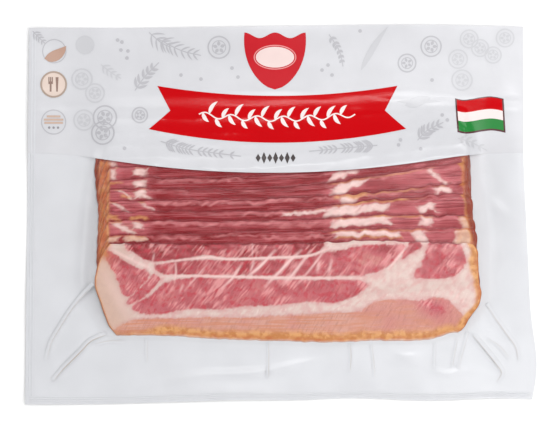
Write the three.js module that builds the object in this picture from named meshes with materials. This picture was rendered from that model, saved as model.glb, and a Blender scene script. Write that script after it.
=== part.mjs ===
// A sealed, flat vacuum pack of sliced bacon, lying on its back. All sizes are in millimetres.
//
// The pack is an opaque backing web and a clear top film, sealed together all round. Between them
// lies a shingled stack of bacon slices: each slice lies on the next one and leaves a narrow strip
// of it showing, so the stack climbs from its front edge, runs level, and then steps down.
// The whole pack is one closed solid: the web's underside, the film's outside and the sealed rim.
//
// Frame: +X runs across the pack, +Y points to its header end, +Z is up, away from the surface it
// lies on. The origin is the centre of the bounding box's underside.

import * as THREE from 'three';

// The pack.
const HALF_WIDTH = 127.75;
const HALF_HEIGHT = 94.75;
const RIM_THICKNESS = 0.5;
const SIDE_TAPER = 2;             // how much further in the left edge is at the header than at the foot
const RIGHT_INSET = 6.75;         // how far the right edge's header end is in from its widest point
const RIGHT_BULGE = 3.75;         // the bulge of the right edge beside the foot corner
const HEADER_INSET = 1.5;         // how far the header's ends are in from its highest point
const FOOT_RISE = 2.4;            // how far the foot edge rises from left to right
const FOOT_RIPPLE = 0.5;          // the wave of the foot edge
const RIM_CURL = 1.6;             // how high the rim lifts off the surface at most
const RIM_FLAT = 0.8;             // share of the half size inside which the underside is flat

// The bacon.
const SLICE_COUNT = 12;
const SLICE_THICKNESS = 1.4;
const SLICE_WIDTH = 47;           // across one slice, along Y
const SLICE_PITCH = 6;            // from one slice's upper edge to the next one's
const FRONT_SLICE_TOP = -14.5;    // Y of the front slice's upper edge
const STACK_LEFT = -92.5;
const STACK_RIGHT = 97.5;
const STACK_CORNER = 14;          // radius of the stack's corners seen from above

// The film between the stack and the sealed rim.
const TENT_REACH = 4;             // how far the film spans from the lowest edge of the stack
const TENT_SPREAD = 1.1;          // how much further it spans for each millimetre of height
const BRIDGE = 0.9;               // length of film that spans each step from crest to foot

// Folds that run out from the stack's front corners over the rim: where each starts and ends, how
// far its middle bows sideways, how high it stands and how wide it is.
const FOLDS = [
  { from: [-93, -35], to: [-117, -71], bow: -2.5, height: 2.2, width: 2.6 },
  { from: [-87, -60], to: [-114, -83], bow: -0.5, height: 2.4, width: 2.6 },
  { from: [101, -45], to: [119, -73], bow: 2.5, height: 1.6, width: 2.6 },
  { from: [95, -60], to: [110, -81], bow: 0.5, height: 1.6, width: 2.6 },
];

const WEB_COLOUR = 0xe4e5e9;

const sliceTop = (index) => FRONT_SLICE_TOP + index * SLICE_PITCH;
const STACK_FRONT = sliceTop(0) - SLICE_WIDTH;
const STACK_BACK = sliceTop(SLICE_COUNT - 1);

const clamp = (value, low, high) => Math.min(Math.max(value, low), high);

function smoothstep(low, high, value) {
  const t = clamp((value - low) / (high - low), 0, 1);
  return t * t * (3 - 2 * t);
}

const bump = (value, centre, width) => Math.exp(-(((value - centre) / width) ** 2));

// How far the pack's edge is in from the full rectangle: down the two sides, where s runs from 0 at
// the header to 1 at the foot, and along the two ends, where u runs from 0 at the left to 1.
const leftInset = (s) => SIDE_TAPER * (1 - s);
const rightInset = (s) =>
  RIGHT_INSET - (RIGHT_INSET - RIGHT_BULGE) * smoothstep(0.3, 0.75, s) - RIGHT_BULGE * bump(s, 0.9, 0.11);
const headerInset = (u) => HEADER_INSET * (1 - bump(u, 0.73, 0.3));
const footInset = (u) =>
  FOOT_RISE * smoothstep(0.1, 0.5, u) + FOOT_RIPPLE * smoothstep(0.3, 0.6, u) * Math.sin(22 * u);

// Moves a point of the full rectangle to the pack's true outline. The pull fades with the cube of
// the distance from the middle, so the stack stays straight.
function place(x, y) {
  const s = (HALF_HEIGHT - y) / (2 * HALF_HEIGHT);
  const u = (x + HALF_WIDTH) / (2 * HALF_WIDTH);
  const sideInset = x > 0 ? rightInset(s) : leftInset(s);
  const endInset = y > 0 ? headerInset(u) : footInset(u);
  return [
    x - Math.sign(x) * Math.abs(x / HALF_WIDTH) ** 3 * sideInset,
    y - Math.sign(y) * Math.abs(y / HALF_HEIGHT) ** 3 * endInset,
  ];
}

// Height of the underside: flat in the middle, with the rim lifting in slow waves.
function underside(x, y) {
  const side = smoothstep(RIM_FLAT, 1, Math.abs(x) / HALF_WIDTH);
  const end = smoothstep(RIM_FLAT, 1, Math.abs(y) / HALF_HEIGHT);
  const wave = 0.5 + 0.3 * Math.sin(x / 17 + y / 29) + 0.2 * Math.cos(y / 13 - x / 41);
  return RIM_CURL * Math.max(side, end) * wave;
}

// Height of the stack at Y: the slice on top there is the first whose upper edge is beyond Y. It
// lies on one more slice for each pitch that Y is past its own front edge.
function stackHeight(y) {
  const onTop = clamp(Math.ceil((y - sliceTop(0)) / SLICE_PITCH - 1e-6), 0, SLICE_COUNT - 1);
  const below = (y - (sliceTop(onTop) - SLICE_WIDTH)) / SLICE_PITCH;
  return SLICE_THICKNESS * (1 + clamp(below, 0, SLICE_COUNT - 1 - onTop));
}

// Distance outside the stack's rounded rectangle, 0 inside it.
function outsideStack(x, y) {
  const halfX = (STACK_RIGHT - STACK_LEFT) / 2 - STACK_CORNER;
  const halfY = (STACK_BACK - STACK_FRONT) / 2 - STACK_CORNER;
  const dx = Math.max(Math.abs(x - (STACK_LEFT + STACK_RIGHT) / 2) - halfX, 0);
  const dy = Math.max(Math.abs(y - (STACK_FRONT + STACK_BACK) / 2) - halfY, 0);
  return Math.max(Math.hypot(dx, dy) - STACK_CORNER, 0);
}

// Height of the film over the web: on the stack it is the stack's height, and outside it falls off
// with the square of the distance still to go.
function filmRise(x, y) {
  const height = stackHeight(clamp(y, STACK_FRONT, STACK_BACK));
  const reach = TENT_REACH + TENT_SPREAD * height;
  const left = clamp(1 - outsideStack(x, y) / reach, 0, 1);
  return height * left * left;
}

// Height of a fold at a point: highest at its middle, and a bell curve across it.
function foldRise(fold, x, y) {
  const along = [fold.to[0] - fold.from[0], fold.to[1] - fold.from[1]];
  const length = Math.hypot(along[0], along[1]);
  const [ax, ay] = [along[0] / length, along[1] / length];
  const [px, py] = [x - fold.from[0], y - fold.from[1]];
  const t = (px * ax + py * ay) / length;
  if (t <= 0 || t >= 1) return 0;
  const across = py * ax - px * ay - fold.bow * 4 * t * (1 - t);
  return fold.height * Math.sqrt(Math.sin(Math.PI * t)) * bump(across, 0, fold.width);
}

function outside(x, y) {
  const folds = FOLDS.reduce((sum, fold) => sum + foldRise(fold, x, y), 0);
  const edge = Math.max(Math.abs(x) / HALF_WIDTH, Math.abs(y) / HALF_HEIGHT);
  return underside(x, y) + RIM_THICKNESS + filmRise(x, y) + folds * (1 - smoothstep(0.95, 1, edge));
}

// Evenly spaced values from low to high, both included, no further apart than step.
function spaced(low, high, step) {
  const count = Math.ceil((high - low) / step - 1e-6);
  return Array.from({ length: count + 1 }, (_, i) => low + ((high - low) * i) / count);
}

// Joins runs of values into one rising list without repeats.
const joined = (...runs) => [...new Set(runs.flat())].sort((a, b) => a - b);

// Columns are close together where the film comes down at the two sides, and rows where it comes
// down in front. Each step of the stack has a row on its crest and one on its foot.
const columns = joined(
  [-HALF_WIDTH, -123],
  spaced(-119, STACK_LEFT + 8.5, 2.7),
  spaced(-72, 82, 14),
  spaced(89, 119, 3.75),
  [123.5, HALF_WIDTH],
);
const steps = Array.from({ length: SLICE_COUNT }, (_, i) => [sliceTop(i), sliceTop(i) + BRIDGE]);
const rows = joined(
  [-HALF_HEIGHT, -91],
  spaced(-87, -33, 3.2),
  [-27, -21],
  steps.flat(),
  [STACK_BACK + 3, STACK_BACK + 6],
  spaced(57, HALF_HEIGHT, 9.5),
);

// The grid of the outside and the grid of the underside, joined by a wall round the rim.
function packGeometry() {
  const wide = columns.length;
  const high = rows.length;
  const positions = [];
  for (const height of [outside, underside]) {
    for (const y of rows) {
      for (const x of columns) positions.push(...place(x, y), height(x, y));
    }
  }
  const at = (column, row, layer) => layer * wide * high + row * wide + column;
  const triangles = [];
  const quad = (a, b, c, d) => triangles.push(a, b, c, a, c, d);
  for (let row = 0; row < high - 1; row += 1) {
    for (let column = 0; column < wide - 1; column += 1) {
      const corners = [[column, row], [column + 1, row], [column + 1, row + 1], [column, row + 1]];
      quad(...corners.map(([c, r]) => at(c, r, 0)));
      quad(...corners.reverse().map(([c, r]) => at(c, r, 1)));
    }
  }
  const wall = (c0, r0, c1, r1) => quad(at(c0, r0, 1), at(c1, r1, 1), at(c1, r1, 0), at(c0, r0, 0));
  for (let column = 0; column < wide - 1; column += 1) {
    wall(column, 0, column + 1, 0);
    wall(column + 1, high - 1, column, high - 1);
  }
  for (let row = 0; row < high - 1; row += 1) {
    wall(wide - 1, row, wide - 1, row + 1);
    wall(0, row + 1, 0, row);
  }
  const geometry = new THREE.BufferGeometry();
  geometry.setAttribute('position', new THREE.Float32BufferAttribute(positions, 3));
  geometry.setIndex(triangles);
  geometry.computeVertexNormals();
  return geometry;
}

const pack = new THREE.Mesh(
  packGeometry(),
  new THREE.MeshStandardMaterial({ color: WEB_COLOUR, roughness: 0.3, metalness: 0 }),
);
pack.name = 'bacon_pack';

const group = new THREE.Group();
group.add(pack);

export default group;
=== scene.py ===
"""A sealed flat pack of shingled bacon slices: its film, its contents and its printed header.

Every shape is worked out in millimetres, in the frame's own axes: X runs across the pack, Y points
to the header and Z is up. The middle of the pack's underside is the origin. Meshes are in metres.
"""

import math
from functools import lru_cache

import bpy
import numpy as np
from bpy.props import FloatProperty, FloatVectorProperty, PointerProperty
from bpy.types import Operator, Panel, PropertyGroup
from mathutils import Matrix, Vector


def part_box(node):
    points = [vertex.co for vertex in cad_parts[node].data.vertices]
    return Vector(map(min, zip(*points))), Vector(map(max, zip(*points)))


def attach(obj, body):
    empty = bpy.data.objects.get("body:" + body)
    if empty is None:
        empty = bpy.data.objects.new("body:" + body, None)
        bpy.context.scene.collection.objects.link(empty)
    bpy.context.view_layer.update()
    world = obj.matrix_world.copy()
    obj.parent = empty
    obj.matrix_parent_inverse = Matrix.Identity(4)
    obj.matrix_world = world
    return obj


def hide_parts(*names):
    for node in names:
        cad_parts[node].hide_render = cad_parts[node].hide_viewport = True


bl_info = {
    "name": "Bacon Pack",
    "version": (1, 0, 0),
    "blender": (4, 5, 0),
    "location": "View3D > Sidebar > Bacon Pack",
    "description": "A sealed flat pack of shingled bacon slices with a printed header",
    "category": "Add Mesh",
}

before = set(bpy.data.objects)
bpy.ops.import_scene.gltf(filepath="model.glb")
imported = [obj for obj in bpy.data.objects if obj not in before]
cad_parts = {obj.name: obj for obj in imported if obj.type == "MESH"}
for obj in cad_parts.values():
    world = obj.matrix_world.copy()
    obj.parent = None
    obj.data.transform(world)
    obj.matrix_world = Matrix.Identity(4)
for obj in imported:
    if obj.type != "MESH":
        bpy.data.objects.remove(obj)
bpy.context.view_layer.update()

NODE = "bacon_pack"
BODY = "root"
MM = 0.001

LOW, HIGH = (np.array(corner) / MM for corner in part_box(NODE))
HALF_WIDTH, HALF_HEIGHT = (HIGH[0] - LOW[0]) / 2, (HIGH[1] - LOW[1]) / 2


def linear(red, green, blue):
    """A display colour from 0 to 255 as a linear colour from 0 to 1."""
    channels = np.array((red, green, blue)) / 255
    bent = np.where(channels <= 0.04045, channels / 12.92, ((channels + 0.055) / 1.055) ** 2.4)
    return tuple(float(value) for value in bent)


def length(name, description, default, **limits):
    """A property that holds a length, given here in millimetres."""
    return FloatProperty(name=name, description=description, default=default * MM, unit="LENGTH",
                         precision=5, **limits)


def colour(name, description, *display):
    """A property that holds a colour, given here as display values from 0 to 255."""
    return FloatVectorProperty(name=name, description=description, default=linear(*display),
                               subtype="COLOR", size=3, min=0, max=1)


class PackSizes(PropertyGroup):
    """Sizes of the web and the film."""

    web: length("Web", "Thickness of the backing web", 0.15)
    film: length("Film", "Thickness of the clear film", 0.05)
    rim_lift: length("Rim lift", "How high the sealed rim lifts off the surface at most", 1.6)
    tent: FloatProperty(name="Tent", default=0.085, min=0, unit="NONE",
                        description="Curvature of the film that spans down from the stack, per mm")
    cling: FloatProperty(name="Cling", default=0.8, min=0, unit="NONE",
                         description="Curvature of the film that clings to the bacon, per mm")


class BaconSizes(PropertyGroup):
    """Sizes and colours of the slices."""

    thickness: length("Thickness", "Thickness of one slice", 1.4)
    width: length("Width", "A slice's size from its upper to its lower edge", 47)
    lean: colour("Lean", "Dark lean meat", 134, 20, 28)
    pink: colour("Pink", "Pale lean meat", 195, 104, 110)
    cured: colour("Cured", "Pale meat beside the rind", 211, 158, 143)
    fat: colour("Fat", "Fat", 221, 198, 190)
    rind: colour("Rind", "Golden rind", 220, 162, 106)
    smoked: colour("Smoked", "Smoked brown ends of the slices", 188, 104, 66)


class PrintColours(PropertyGroup):
    """Colours of the web and of the header's print."""

    web: colour("Web", "Backing web", 215, 216, 220)
    header: colour("Header", "White header film", 212, 212, 216)
    red: colour("Red", "Ribbon and the flag's first stripe", 198, 0, 10)
    green: colour("Green", "The flag's last stripe", 14, 128, 46)
    dark: colour("Dark", "Small dark marks", 70, 62, 62)
    grey: colour("Grey", "Pale drawings of vegetables and herbs", 188, 187, 192)
    faint: colour("Faint", "Faintest drawings", 201, 201, 205)
    brown: colour("Brown", "Rings of the pictograms", 172, 152, 138)
    cream: colour("Cream", "Fields of the pictograms", 224, 204, 192)


class StudioSettings(PropertyGroup):
    """Camera and lights."""

    distance: length("Distance", "Height of the camera over the pack", 1500)
    view: length("View", "Width of the surface that the camera sees", 272.5)
    key: FloatProperty(name="Key", description="Power of the key light", default=5.6, unit="POWER")
    fill: FloatProperty(name="Fill", description="Strength of the light from all round",
                        default=0.48, min=0)
    floor: colour("Floor", "Surface the pack lies on", 255, 255, 255)


# ---------------------------------------------------------------- fields and curves


def smooth(low, high, value):
    """0 below low, 1 above high, and an S curve between them."""
    t = np.clip((value - low) / (high - low), 0, 1)
    return t * t * (3 - 2 * t)


def bump(value, centre, width):
    """A bell curve of height 1."""
    return np.exp(-(((value - centre) / width) ** 2))


def through(knots, values, x):
    """A smooth curve through a few points: cubic pieces whose slopes come from the neighbours, and
    straight past both ends."""
    knots, values = np.asarray(knots, float), np.asarray(values, float)
    slopes = np.gradient(values, knots)
    piece = np.clip(np.searchsorted(knots, x) - 1, 0, len(knots) - 2)
    span = knots[piece + 1] - knots[piece]
    t = np.clip((x - knots[piece]) / span, 0, 1)
    a, b = values[piece], values[piece + 1]
    p, q = slopes[piece] * span, slopes[piece + 1] * span
    curve = a + t * (p + t * (3 * (b - a) - 2 * p - q + t * (2 * (a - b) + p + q)))
    before = np.minimum(x - knots[0], 0) * slopes[0]
    return curve + before + np.maximum(x - knots[-1], 0) * slopes[-1]


@lru_cache(maxsize=None)
def lattice(seed):
    """Random values from -1 to 1 on a square lattice that repeats."""
    return np.random.default_rng(seed).uniform(-1, 1, (128, 128))


def noise(x, y, seed):
    """A smooth random field from -1 to 1: lattice values blended with S curves."""
    x, y = np.broadcast_arrays(np.asarray(x, float), np.asarray(y, float))
    column, row = np.floor(x).astype(int), np.floor(y).astype(int)
    u, v = smooth(0, 1, x - column), smooth(0, 1, y - row)
    table = lattice(seed)

    def at(i, j):
        return table[(row + j) % 128, (column + i) % 128]

    return (at(0, 0) * (1 - u) + at(1, 0) * u) * (1 - v) + (at(0, 1) * (1 - u) + at(1, 1) * u) * v


def closed_curve(points, steps=6):
    """A smooth closed curve through the points: cubic pieces, steps points to a piece."""
    points = np.asarray(points, float)
    before, after, next_after = (np.roll(points, shift, axis=0) for shift in (1, -1, -2))
    t = (np.arange(steps) / steps)[None, :, None]
    p0, p1, p2, p3 = (group[:, None, :] for group in (before, points, after, next_after))
    curve = p1 + 0.5 * t * (p2 - p0 + t * (2 * p0 - 5 * p1 + 4 * p2 - p3
                                           + t * (3 * (p1 - p2) + p3 - p0)))
    return curve.reshape(-1, 2)


def open_curve(points, steps=8):
    """A smooth open curve through the points, steps points to a piece and the last point."""
    points = np.asarray(points, float)
    knots = np.arange(len(points))
    t = np.linspace(0, len(points) - 1, steps * (len(points) - 1) + 1)
    if len(points) == 2:
        return points[0] + t[:, None] * (points[1] - points[0])
    return np.stack([through(knots, points[:, axis], t) for axis in (0, 1)], axis=1)


def segment_distance(x, y, start, end):
    """Distance to a straight segment, and how far along it the nearest point is, from 0 to 1."""
    along = end - start
    t = np.clip(((x - start[0]) * along[0] + (y - start[1]) * along[1]) / (along @ along), 0, 1)
    return np.hypot(x - start[0] - t * along[0], y - start[1] - t * along[1]), t


def inside_distance(x, y, outline):
    """Distance to a closed outline, positive inside it. A point is inside where a ray along X
    crosses the outline an odd number of times."""
    nearest = np.full(x.shape, np.inf)
    inside = np.zeros(x.shape, bool)
    for start, end in zip(outline, np.roll(outline, -1, axis=0)):
        nearest = np.minimum(nearest, segment_distance(x, y, start, end)[0])
        if start[1] != end[1]:
            crossing = (start[1] > y) != (end[1] > y)
            reach = start[0] + (y - start[1]) / (end[1] - start[1]) * (end[0] - start[0])
            inside ^= crossing & (x < reach)
    return np.where(inside, nearest, -nearest)


def curve_distance(x, y, points):
    """Distance to an open curve, and how far along it the nearest point is, from 0 to 1."""
    curve = open_curve(points)
    nearest, where = np.full(x.shape, np.inf), np.zeros(x.shape)
    for index, (start, end) in enumerate(zip(curve[:-1], curve[1:])):
        distance, t = segment_distance(x, y, start, end)
        closer = distance < nearest
        nearest = np.where(closer, distance, nearest)
        where = np.where(closer, (index + t) / (len(curve) - 1), where)
    return nearest, where


# ---------------------------------------------------------------- the pack's outline

PULL = 6                # how steeply the pull towards the outline grows from the middle
SIDE_TAPER = 2.0        # how much further in the left edge is at the header than at the foot
RIGHT_INSET = 6.75      # how far the right edge's header end is in from its widest point
RIGHT_BULGE = 3.75      # the bulge of the right edge beside the foot corner
HEADER_INSET = 1.5      # how far the header's ends are in from its highest point
FOOT_RISE = 2.4         # how far the foot edge rises from left to right
FOOT_RIPPLE = 0.5       # the wave of the foot edge
RIM_FLAT = 0.8          # share of the half size inside which the underside is flat


def pull(x, y):
    """How far a point of the full rectangle moves in to reach the pack's true outline. The pull
    grows with a power of the distance from the middle."""
    s = (HALF_HEIGHT - y) / (2 * HALF_HEIGHT)
    u = (x + HALF_WIDTH) / (2 * HALF_WIDTH)
    right = (RIGHT_INSET - (RIGHT_INSET - RIGHT_BULGE) * smooth(0.3, 0.75, s)
             - RIGHT_BULGE * bump(s, 0.9, 0.11))
    header = HEADER_INSET * (1 - bump(u, 0.73, 0.3))
    foot = FOOT_RISE * smooth(0.1, 0.5, u) + FOOT_RIPPLE * smooth(0.3, 0.6, u) * np.sin(22 * u)
    side = np.where(x > 0, right, SIDE_TAPER * (1 - s))
    end = np.where(y > 0, header, foot)
    return (np.sign(x) * np.abs(x / HALF_WIDTH) ** PULL * side,
            np.sign(y) * np.abs(y / HALF_HEIGHT) ** PULL * end)


def place(x, y):
    """Moves points of the full rectangle to the pack's true outline."""
    in_x, in_y = pull(x, y)
    return x - in_x, y - in_y


def unplace(x, y):
    """The points of the full rectangle that place() moves to x and y, by three corrections."""
    plain_x, plain_y = x, y
    for _ in range(3):
        in_x, in_y = pull(plain_x, plain_y)
        plain_x, plain_y = x + in_x, y + in_y
    return plain_x, plain_y


def underside(x, y, lift):
    """Height of the underside: flat in the middle, with the rim lifting in slow waves."""
    side = smooth(RIM_FLAT, 1, np.abs(x) / HALF_WIDTH)
    end = smooth(RIM_FLAT, 1, np.abs(y) / HALF_HEIGHT)
    wave = 0.5 + 0.3 * np.sin(x / 17 + y / 29) + 0.2 * np.cos(y / 13 - x / 41)
    return lift * np.maximum(side, end) * wave


# ---------------------------------------------------------------- the stack of slices

# Y of each slice's upper edge at four places across the pack, front slice first.
EDGE_KNOTS = (-75, 10, 45, 85)
UPPER_EDGES = (
    (-14.4, -14.3, -13.2, -14.5),
    (-10.2, -8.8, -7.5, -7.5),
    (-3.4, -2.6, -0.6, -0.9),
    (1.3, 2.6, 7.0, 9.8),
    (6.7, 8.2, 10.8, 15.3),
    (12.7, 13.8, 18.9, 24.8),
    (17.5, 20.2, 25.2, 31.0),
    (23.5, 26.5, 31.0, 36.0),
    (30.0, 32.0, 35.5, 39.5),
    (36.0, 37.5, 40.5, 43.5),
    (42.0, 43.0, 45.0, 47.5),
    (49.5, 50.5, 51.5, 52.5),
)
SLICE_COUNT = len(UPPER_EDGES)

# X of a slice's two ends against the share of the way down from its upper to its lower edge.
LEFT_END = ((0, 0.05, 0.13, 0.28, 0.44, 0.58, 0.75, 0.92, 1),
            (-85.2, -86.9, -89.0, -91.4, -92.8, -90.9, -88.6, -85.0, -82.5))
RIGHT_END = ((0, 0.04, 0.2, 0.42, 0.6, 0.7, 0.78, 0.86, 0.94, 1),
             (95.8, 97.2, 98.0, 98.7, 99.8, 99.0, 96.5, 93.6, 91.6, 88.5))
# Y of the front slice's lower edge, from left to right.
FRONT_KNOTS = (-82, -61, -40, 0, 30, 48, 60, 76, 83, 90)
FRONT_EDGE = (-60.6, -60.6, -61.9, -63.4, -64.0, -63.0, -63.3, -62.1, -59.8, -59.0)


def upper_edge(index, x):
    """Y of a slice's upper edge at x: its four places joined up, with a small unevenness that
    grows towards the right."""
    size = 0.42 if index == 0 else 0.62
    wave = size * noise(x / 4.6, index * 3.7, 11) + 0.27 * noise(x / 2.1, index * 5.1, 12)
    more = 1 + 0.7 * smooth(60, 82, x) * (index > 0)
    return through(EDGE_KNOTS, UPPER_EDGES[index], x) + wave * more


def lower_edge(index, x, width):
    """Y of a slice's lower edge at x. The front slice's runs through places of its own and has
    small nicks; the others lie one width below their upper edges."""
    if index == 0:
        nicks = 0.3 * noise(x / 3.1, 0.5, 13) + 0.25 * np.maximum(noise(x / 1.1, 4.5, 14), 0)
        return through(FRONT_KNOTS, FRONT_EDGE, x) + nicks
    return through(EDGE_KNOTS, UPPER_EDGES[index], x) - width


def slice_ends(index, down):
    """X of a slice's two ends at a share of the way down. The slices behind the front one bulge
    less on the left and end further in on the right, each with a small shift of its own."""
    left = through(*LEFT_END, down)
    bulge = 1 - 0.2 * (1 - math.exp(-index / 2))
    shift = 0.0 if index == 0 else 0.3 * noise(index * 1.7, 0.3, 15)
    left = LEFT_END[1][0] + (left - LEFT_END[1][0]) * bulge + shift - 2.0 * smooth(7, 10, index)
    right = through(*RIGHT_END, down) - 4.9 * smooth(0, 5.5, index)
    wave = 0.22 * noise(down * 9, index * 2.3, 16)
    return left + wave, right - wave


def slice_base(index, x, y, thickness, width):
    """Height of a slice's underside: each slice below it adds its thickness over the ramp from the
    front edge of the slice before it to its own front edge."""
    height = np.zeros(np.broadcast(x, y).shape)
    for below in range(index + 1, SLICE_COUNT):
        start, end = (lower_edge(other, x, width) for other in (below - 1, below))
        height = height + thickness * np.clip((y - start) / np.maximum(end - start, 1), 0, 1)
    return height


UPPER_ROUND = 1.9       # width of the round along a slice's upper edge


def edge_share(distance, from_top, thickness):
    """Share of the full thickness near a slice's edges: a quarter circle round the rim, and a
    longer round along the upper edge, where the slice thins out."""
    rim = np.sqrt(1 - (1 - np.clip(distance / (thickness / 2), 0, 1)) ** 2)
    return 0.1 + 0.9 * (rim * np.sin(np.pi / 2 * np.clip(from_top / UPPER_ROUND, 0, 1)))


def nearest(x, y, left, right, top, foot):
    """Distance in from the nearest of four edges, negative outside them."""
    return np.minimum(np.minimum(top - y, y - foot), np.minimum(x - left, right - x))


def rim_distance(index, x, y, width):
    """Distance in from the nearest of a slice's four edges, negative outside."""
    top, foot = upper_edge(index, x), lower_edge(index, x, width)
    ends = slice_ends(index, np.clip((top - y) / (top - foot), 0, 1))
    return nearest(x, y, *ends, top, foot)


def slice_top(index, x, y, thickness, width):
    """Height of a slice's upper face, and where the slice is."""
    distance = rim_distance(index, x, y, width)
    share = edge_share(distance, upper_edge(index, x) - y, thickness)
    return slice_base(index, x, y, thickness, width) + thickness * share, distance > 0


# ---------------------------------------------------------------- the film

# Broad folds over the rim: the points they run through, how high they stand and how wide they are.
FOLDS = (
    (((-93, -34), (-100, -41), (-106, -49), (-111, -57), (-115, -64), (-117, -71)), 1.0, 1.6),
    (((-87, -59.5), (-95, -63), (-100, -68), (-109, -77), (-114, -83)), 1.1, 1.6),
    (((101, -44), (107, -53), (113, -59), (119, -73)), 0.25, 2.0),
    (((96, -59), (101, -66), (107, -74), (110.5, -81)), 0.6, 1.8),
    (((-69, -86.5), (-41, -81), (-16, -80), (0, -77.5), (26, -71.5)), 0.8, 2.4),
    (((56, -69), (63, -71.5), (70, -69.5)), 0.4, 1.6),
    (((76, -78), (84, -80.5), (94, -77.5)), 0.45, 1.8),
    (((36, -66), (36, -76)), 0.3, 1.4),
    (((106, 8), (111, 3), (118, 1)), 0.35, 3.0),
)


def folds_at(x, y):
    """Height of the folds: each is highest along its middle and a bell curve across it."""
    height = np.zeros(np.broadcast(x, y).shape)
    for points, rise, width in FOLDS:
        distance, along = curve_distance(x, y, points)
        ends = np.sqrt(np.clip(np.sin(np.pi * np.clip(along, 0.02, 0.98)), 0, 1))
        height += rise * ends * np.exp(-(distance / width) ** 2)
    edge = np.maximum(np.abs(x) / HALF_WIDTH, np.abs(y) / HALF_HEIGHT)
    return height * (1 - smooth(0.95, 1, edge))


def web_top(x, y, lift, web):
    """Height of the backing web's upper face: over the underside by its thickness, raised where
    the folds gather it, with slow ripples in the rim."""
    gathered = 0.45 * folds_at(x, y)
    edge = np.maximum(np.abs(x) / HALF_WIDTH, np.abs(y) / HALF_HEIGHT)
    ripple = 0.25 * smooth(0.72, 0.8, edge) * (1 + noise(x / 14, y / 14, 21)) / 2
    corner = smooth(30, 60, x) * smooth(-62, -68, y) * (1 - smooth(0.9, 0.96, edge))
    crinkle = 0.14 * corner * (1 + noise(x / 6 + y / 9, y / 5, 23)) / 2
    return underside(x, y, lift) + web + gathered + ripple + crinkle


GRID = 0.5              # spacing of the grid that the film's shape is worked out on
WEB_GAP = 0.05          # how far the film stays over the web, so that the two don't meet
BACON_GAP = 0.14        # how far it stays over the bacon,
HEADER_GAP = 0.3        # and how much further where it is printed
RELAXING = ((8, 500), (4, 300), (2, 250), (1, 220))     # strides over the grid, and rounds on each


@lru_cache(maxsize=1)
def film_grid(thickness, width, web, lift, tent, cling):
    """The film's height over the full rectangle, on a grid.

    The film is a skin stretched over the slices and the web. Each point goes to the mean of its
    four neighbours, less the pull of the vacuum, and is held up by whatever is under it. This is
    repeated on ever finer grids until the skin settles."""
    columns = int(round(2 * HALF_WIDTH / GRID)) + 1
    rows = int(round(2 * HALF_HEIGHT / GRID)) + 1
    x, y = np.meshgrid(np.linspace(-HALF_WIDTH, HALF_WIDTH, columns),
                       np.linspace(-HALF_HEIGHT, HALF_HEIGHT, rows))
    true_x, true_y = place(x, y)
    hold = web_top(x, y, lift, web) + WEB_GAP
    near = np.zeros(x.shape)
    printed = smooth(-2.0, 2.0, true_y - header_line(true_x))
    gap = BACON_GAP + HEADER_GAP * printed
    for index in range(SLICE_COUNT):
        top, here = slice_top(index, true_x, true_y, thickness, width)
        hold = np.where(here, np.maximum(hold, top + gap), hold)
        near = np.maximum(near, smooth(-1.5, 1.0, rim_distance(index, true_x, true_y, width)))
    near = near * (1 - printed)
    curvature = tent * (1 - 0.74 * printed + 1.2 * smooth(80, 100, x)) + (cling - tent) * near
    edge = np.zeros(x.shape, bool)
    edge[[0, -1], :] = edge[:, [0, -1]] = True
    skin = None
    for stride, rounds in RELAXING:
        held, fixed, sag = (field[::stride, ::stride] for field in (hold, edge, curvature))
        skin = held.copy() if skin is None else np.maximum(resample(skin, held.shape), held)
        drop = sag * (GRID * stride) ** 2 / 4
        for _ in range(rounds):
            mean = (skin[:-2, 1:-1] + skin[2:, 1:-1] + skin[1:-1, :-2] + skin[1:-1, 2:]) / 4
            skin[1:-1, 1:-1] = np.maximum(mean - drop[1:-1, 1:-1], held[1:-1, 1:-1])
            skin = np.where(fixed, held, skin)
    ripples = 0.09 * noise(x / 20, y / 2.7, 22) * smooth(47, 53, y) * (1 - smooth(60, 66, y))
    return skin + 0.6 * folds_at(x, y) + ripples


def resample(field, shape):
    """A grid of values spread over a grid of another shape."""
    row = np.linspace(0, field.shape[0] - 1, shape[0])[:, None]
    column = np.linspace(0, field.shape[1] - 1, shape[1])[None, :]
    return sample(field, row, column)


def sample(field, row, column):
    """Values between a grid's points, blended from the four nearest."""
    row = np.clip(row, 0, field.shape[0] - 1.001)
    column = np.clip(column, 0, field.shape[1] - 1.001)
    i, j = np.floor(row).astype(int), np.floor(column).astype(int)
    v, u = row - i, column - j
    low = field[i, j] * (1 - u) + field[i, j + 1] * u
    return low * (1 - v) + (field[i + 1, j] * (1 - u) + field[i + 1, j + 1] * u) * v


def settings():
    """The lengths that the shapes are worked out from, in millimetres."""
    scene = bpy.context.scene
    pack, bacon = scene.pack_sizes, scene.bacon_sizes
    return dict(thickness=bacon.thickness / MM, width=bacon.width / MM, web=pack.web / MM,
                lift=pack.rim_lift / MM, tent=pack.tent, cling=pack.cling)


def film_height(x, y):
    """The height of the film's underside at points of the full rectangle."""
    field = film_grid(**settings())
    row = (y + HALF_HEIGHT) / (2 * HALF_HEIGHT) * (field.shape[0] - 1)
    column = (x + HALF_WIDTH) / (2 * HALF_WIDTH) * (field.shape[1] - 1)
    return sample(field, row, column)


HEADER_FOOT = 20.8      # Y of the lowest point of the header print's lower edge


def header_line(x):
    """Y of the header print's lower edge: a hollow parabola over the slices that levels off ten
    millimetres above its lowest point."""
    rise = 7.9 * ((x + 5) / 90) ** 2
    return HEADER_FOOT + rise / (1 + (rise / 10) ** 6) ** (1 / 6)


def film_top(x, y):
    """The height of the film's upper face at points of the true outline."""
    return film_height(*unplace(x, y)) + bpy.context.scene.pack_sizes.film / MM


# ---------------------------------------------------------------- meshes


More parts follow.
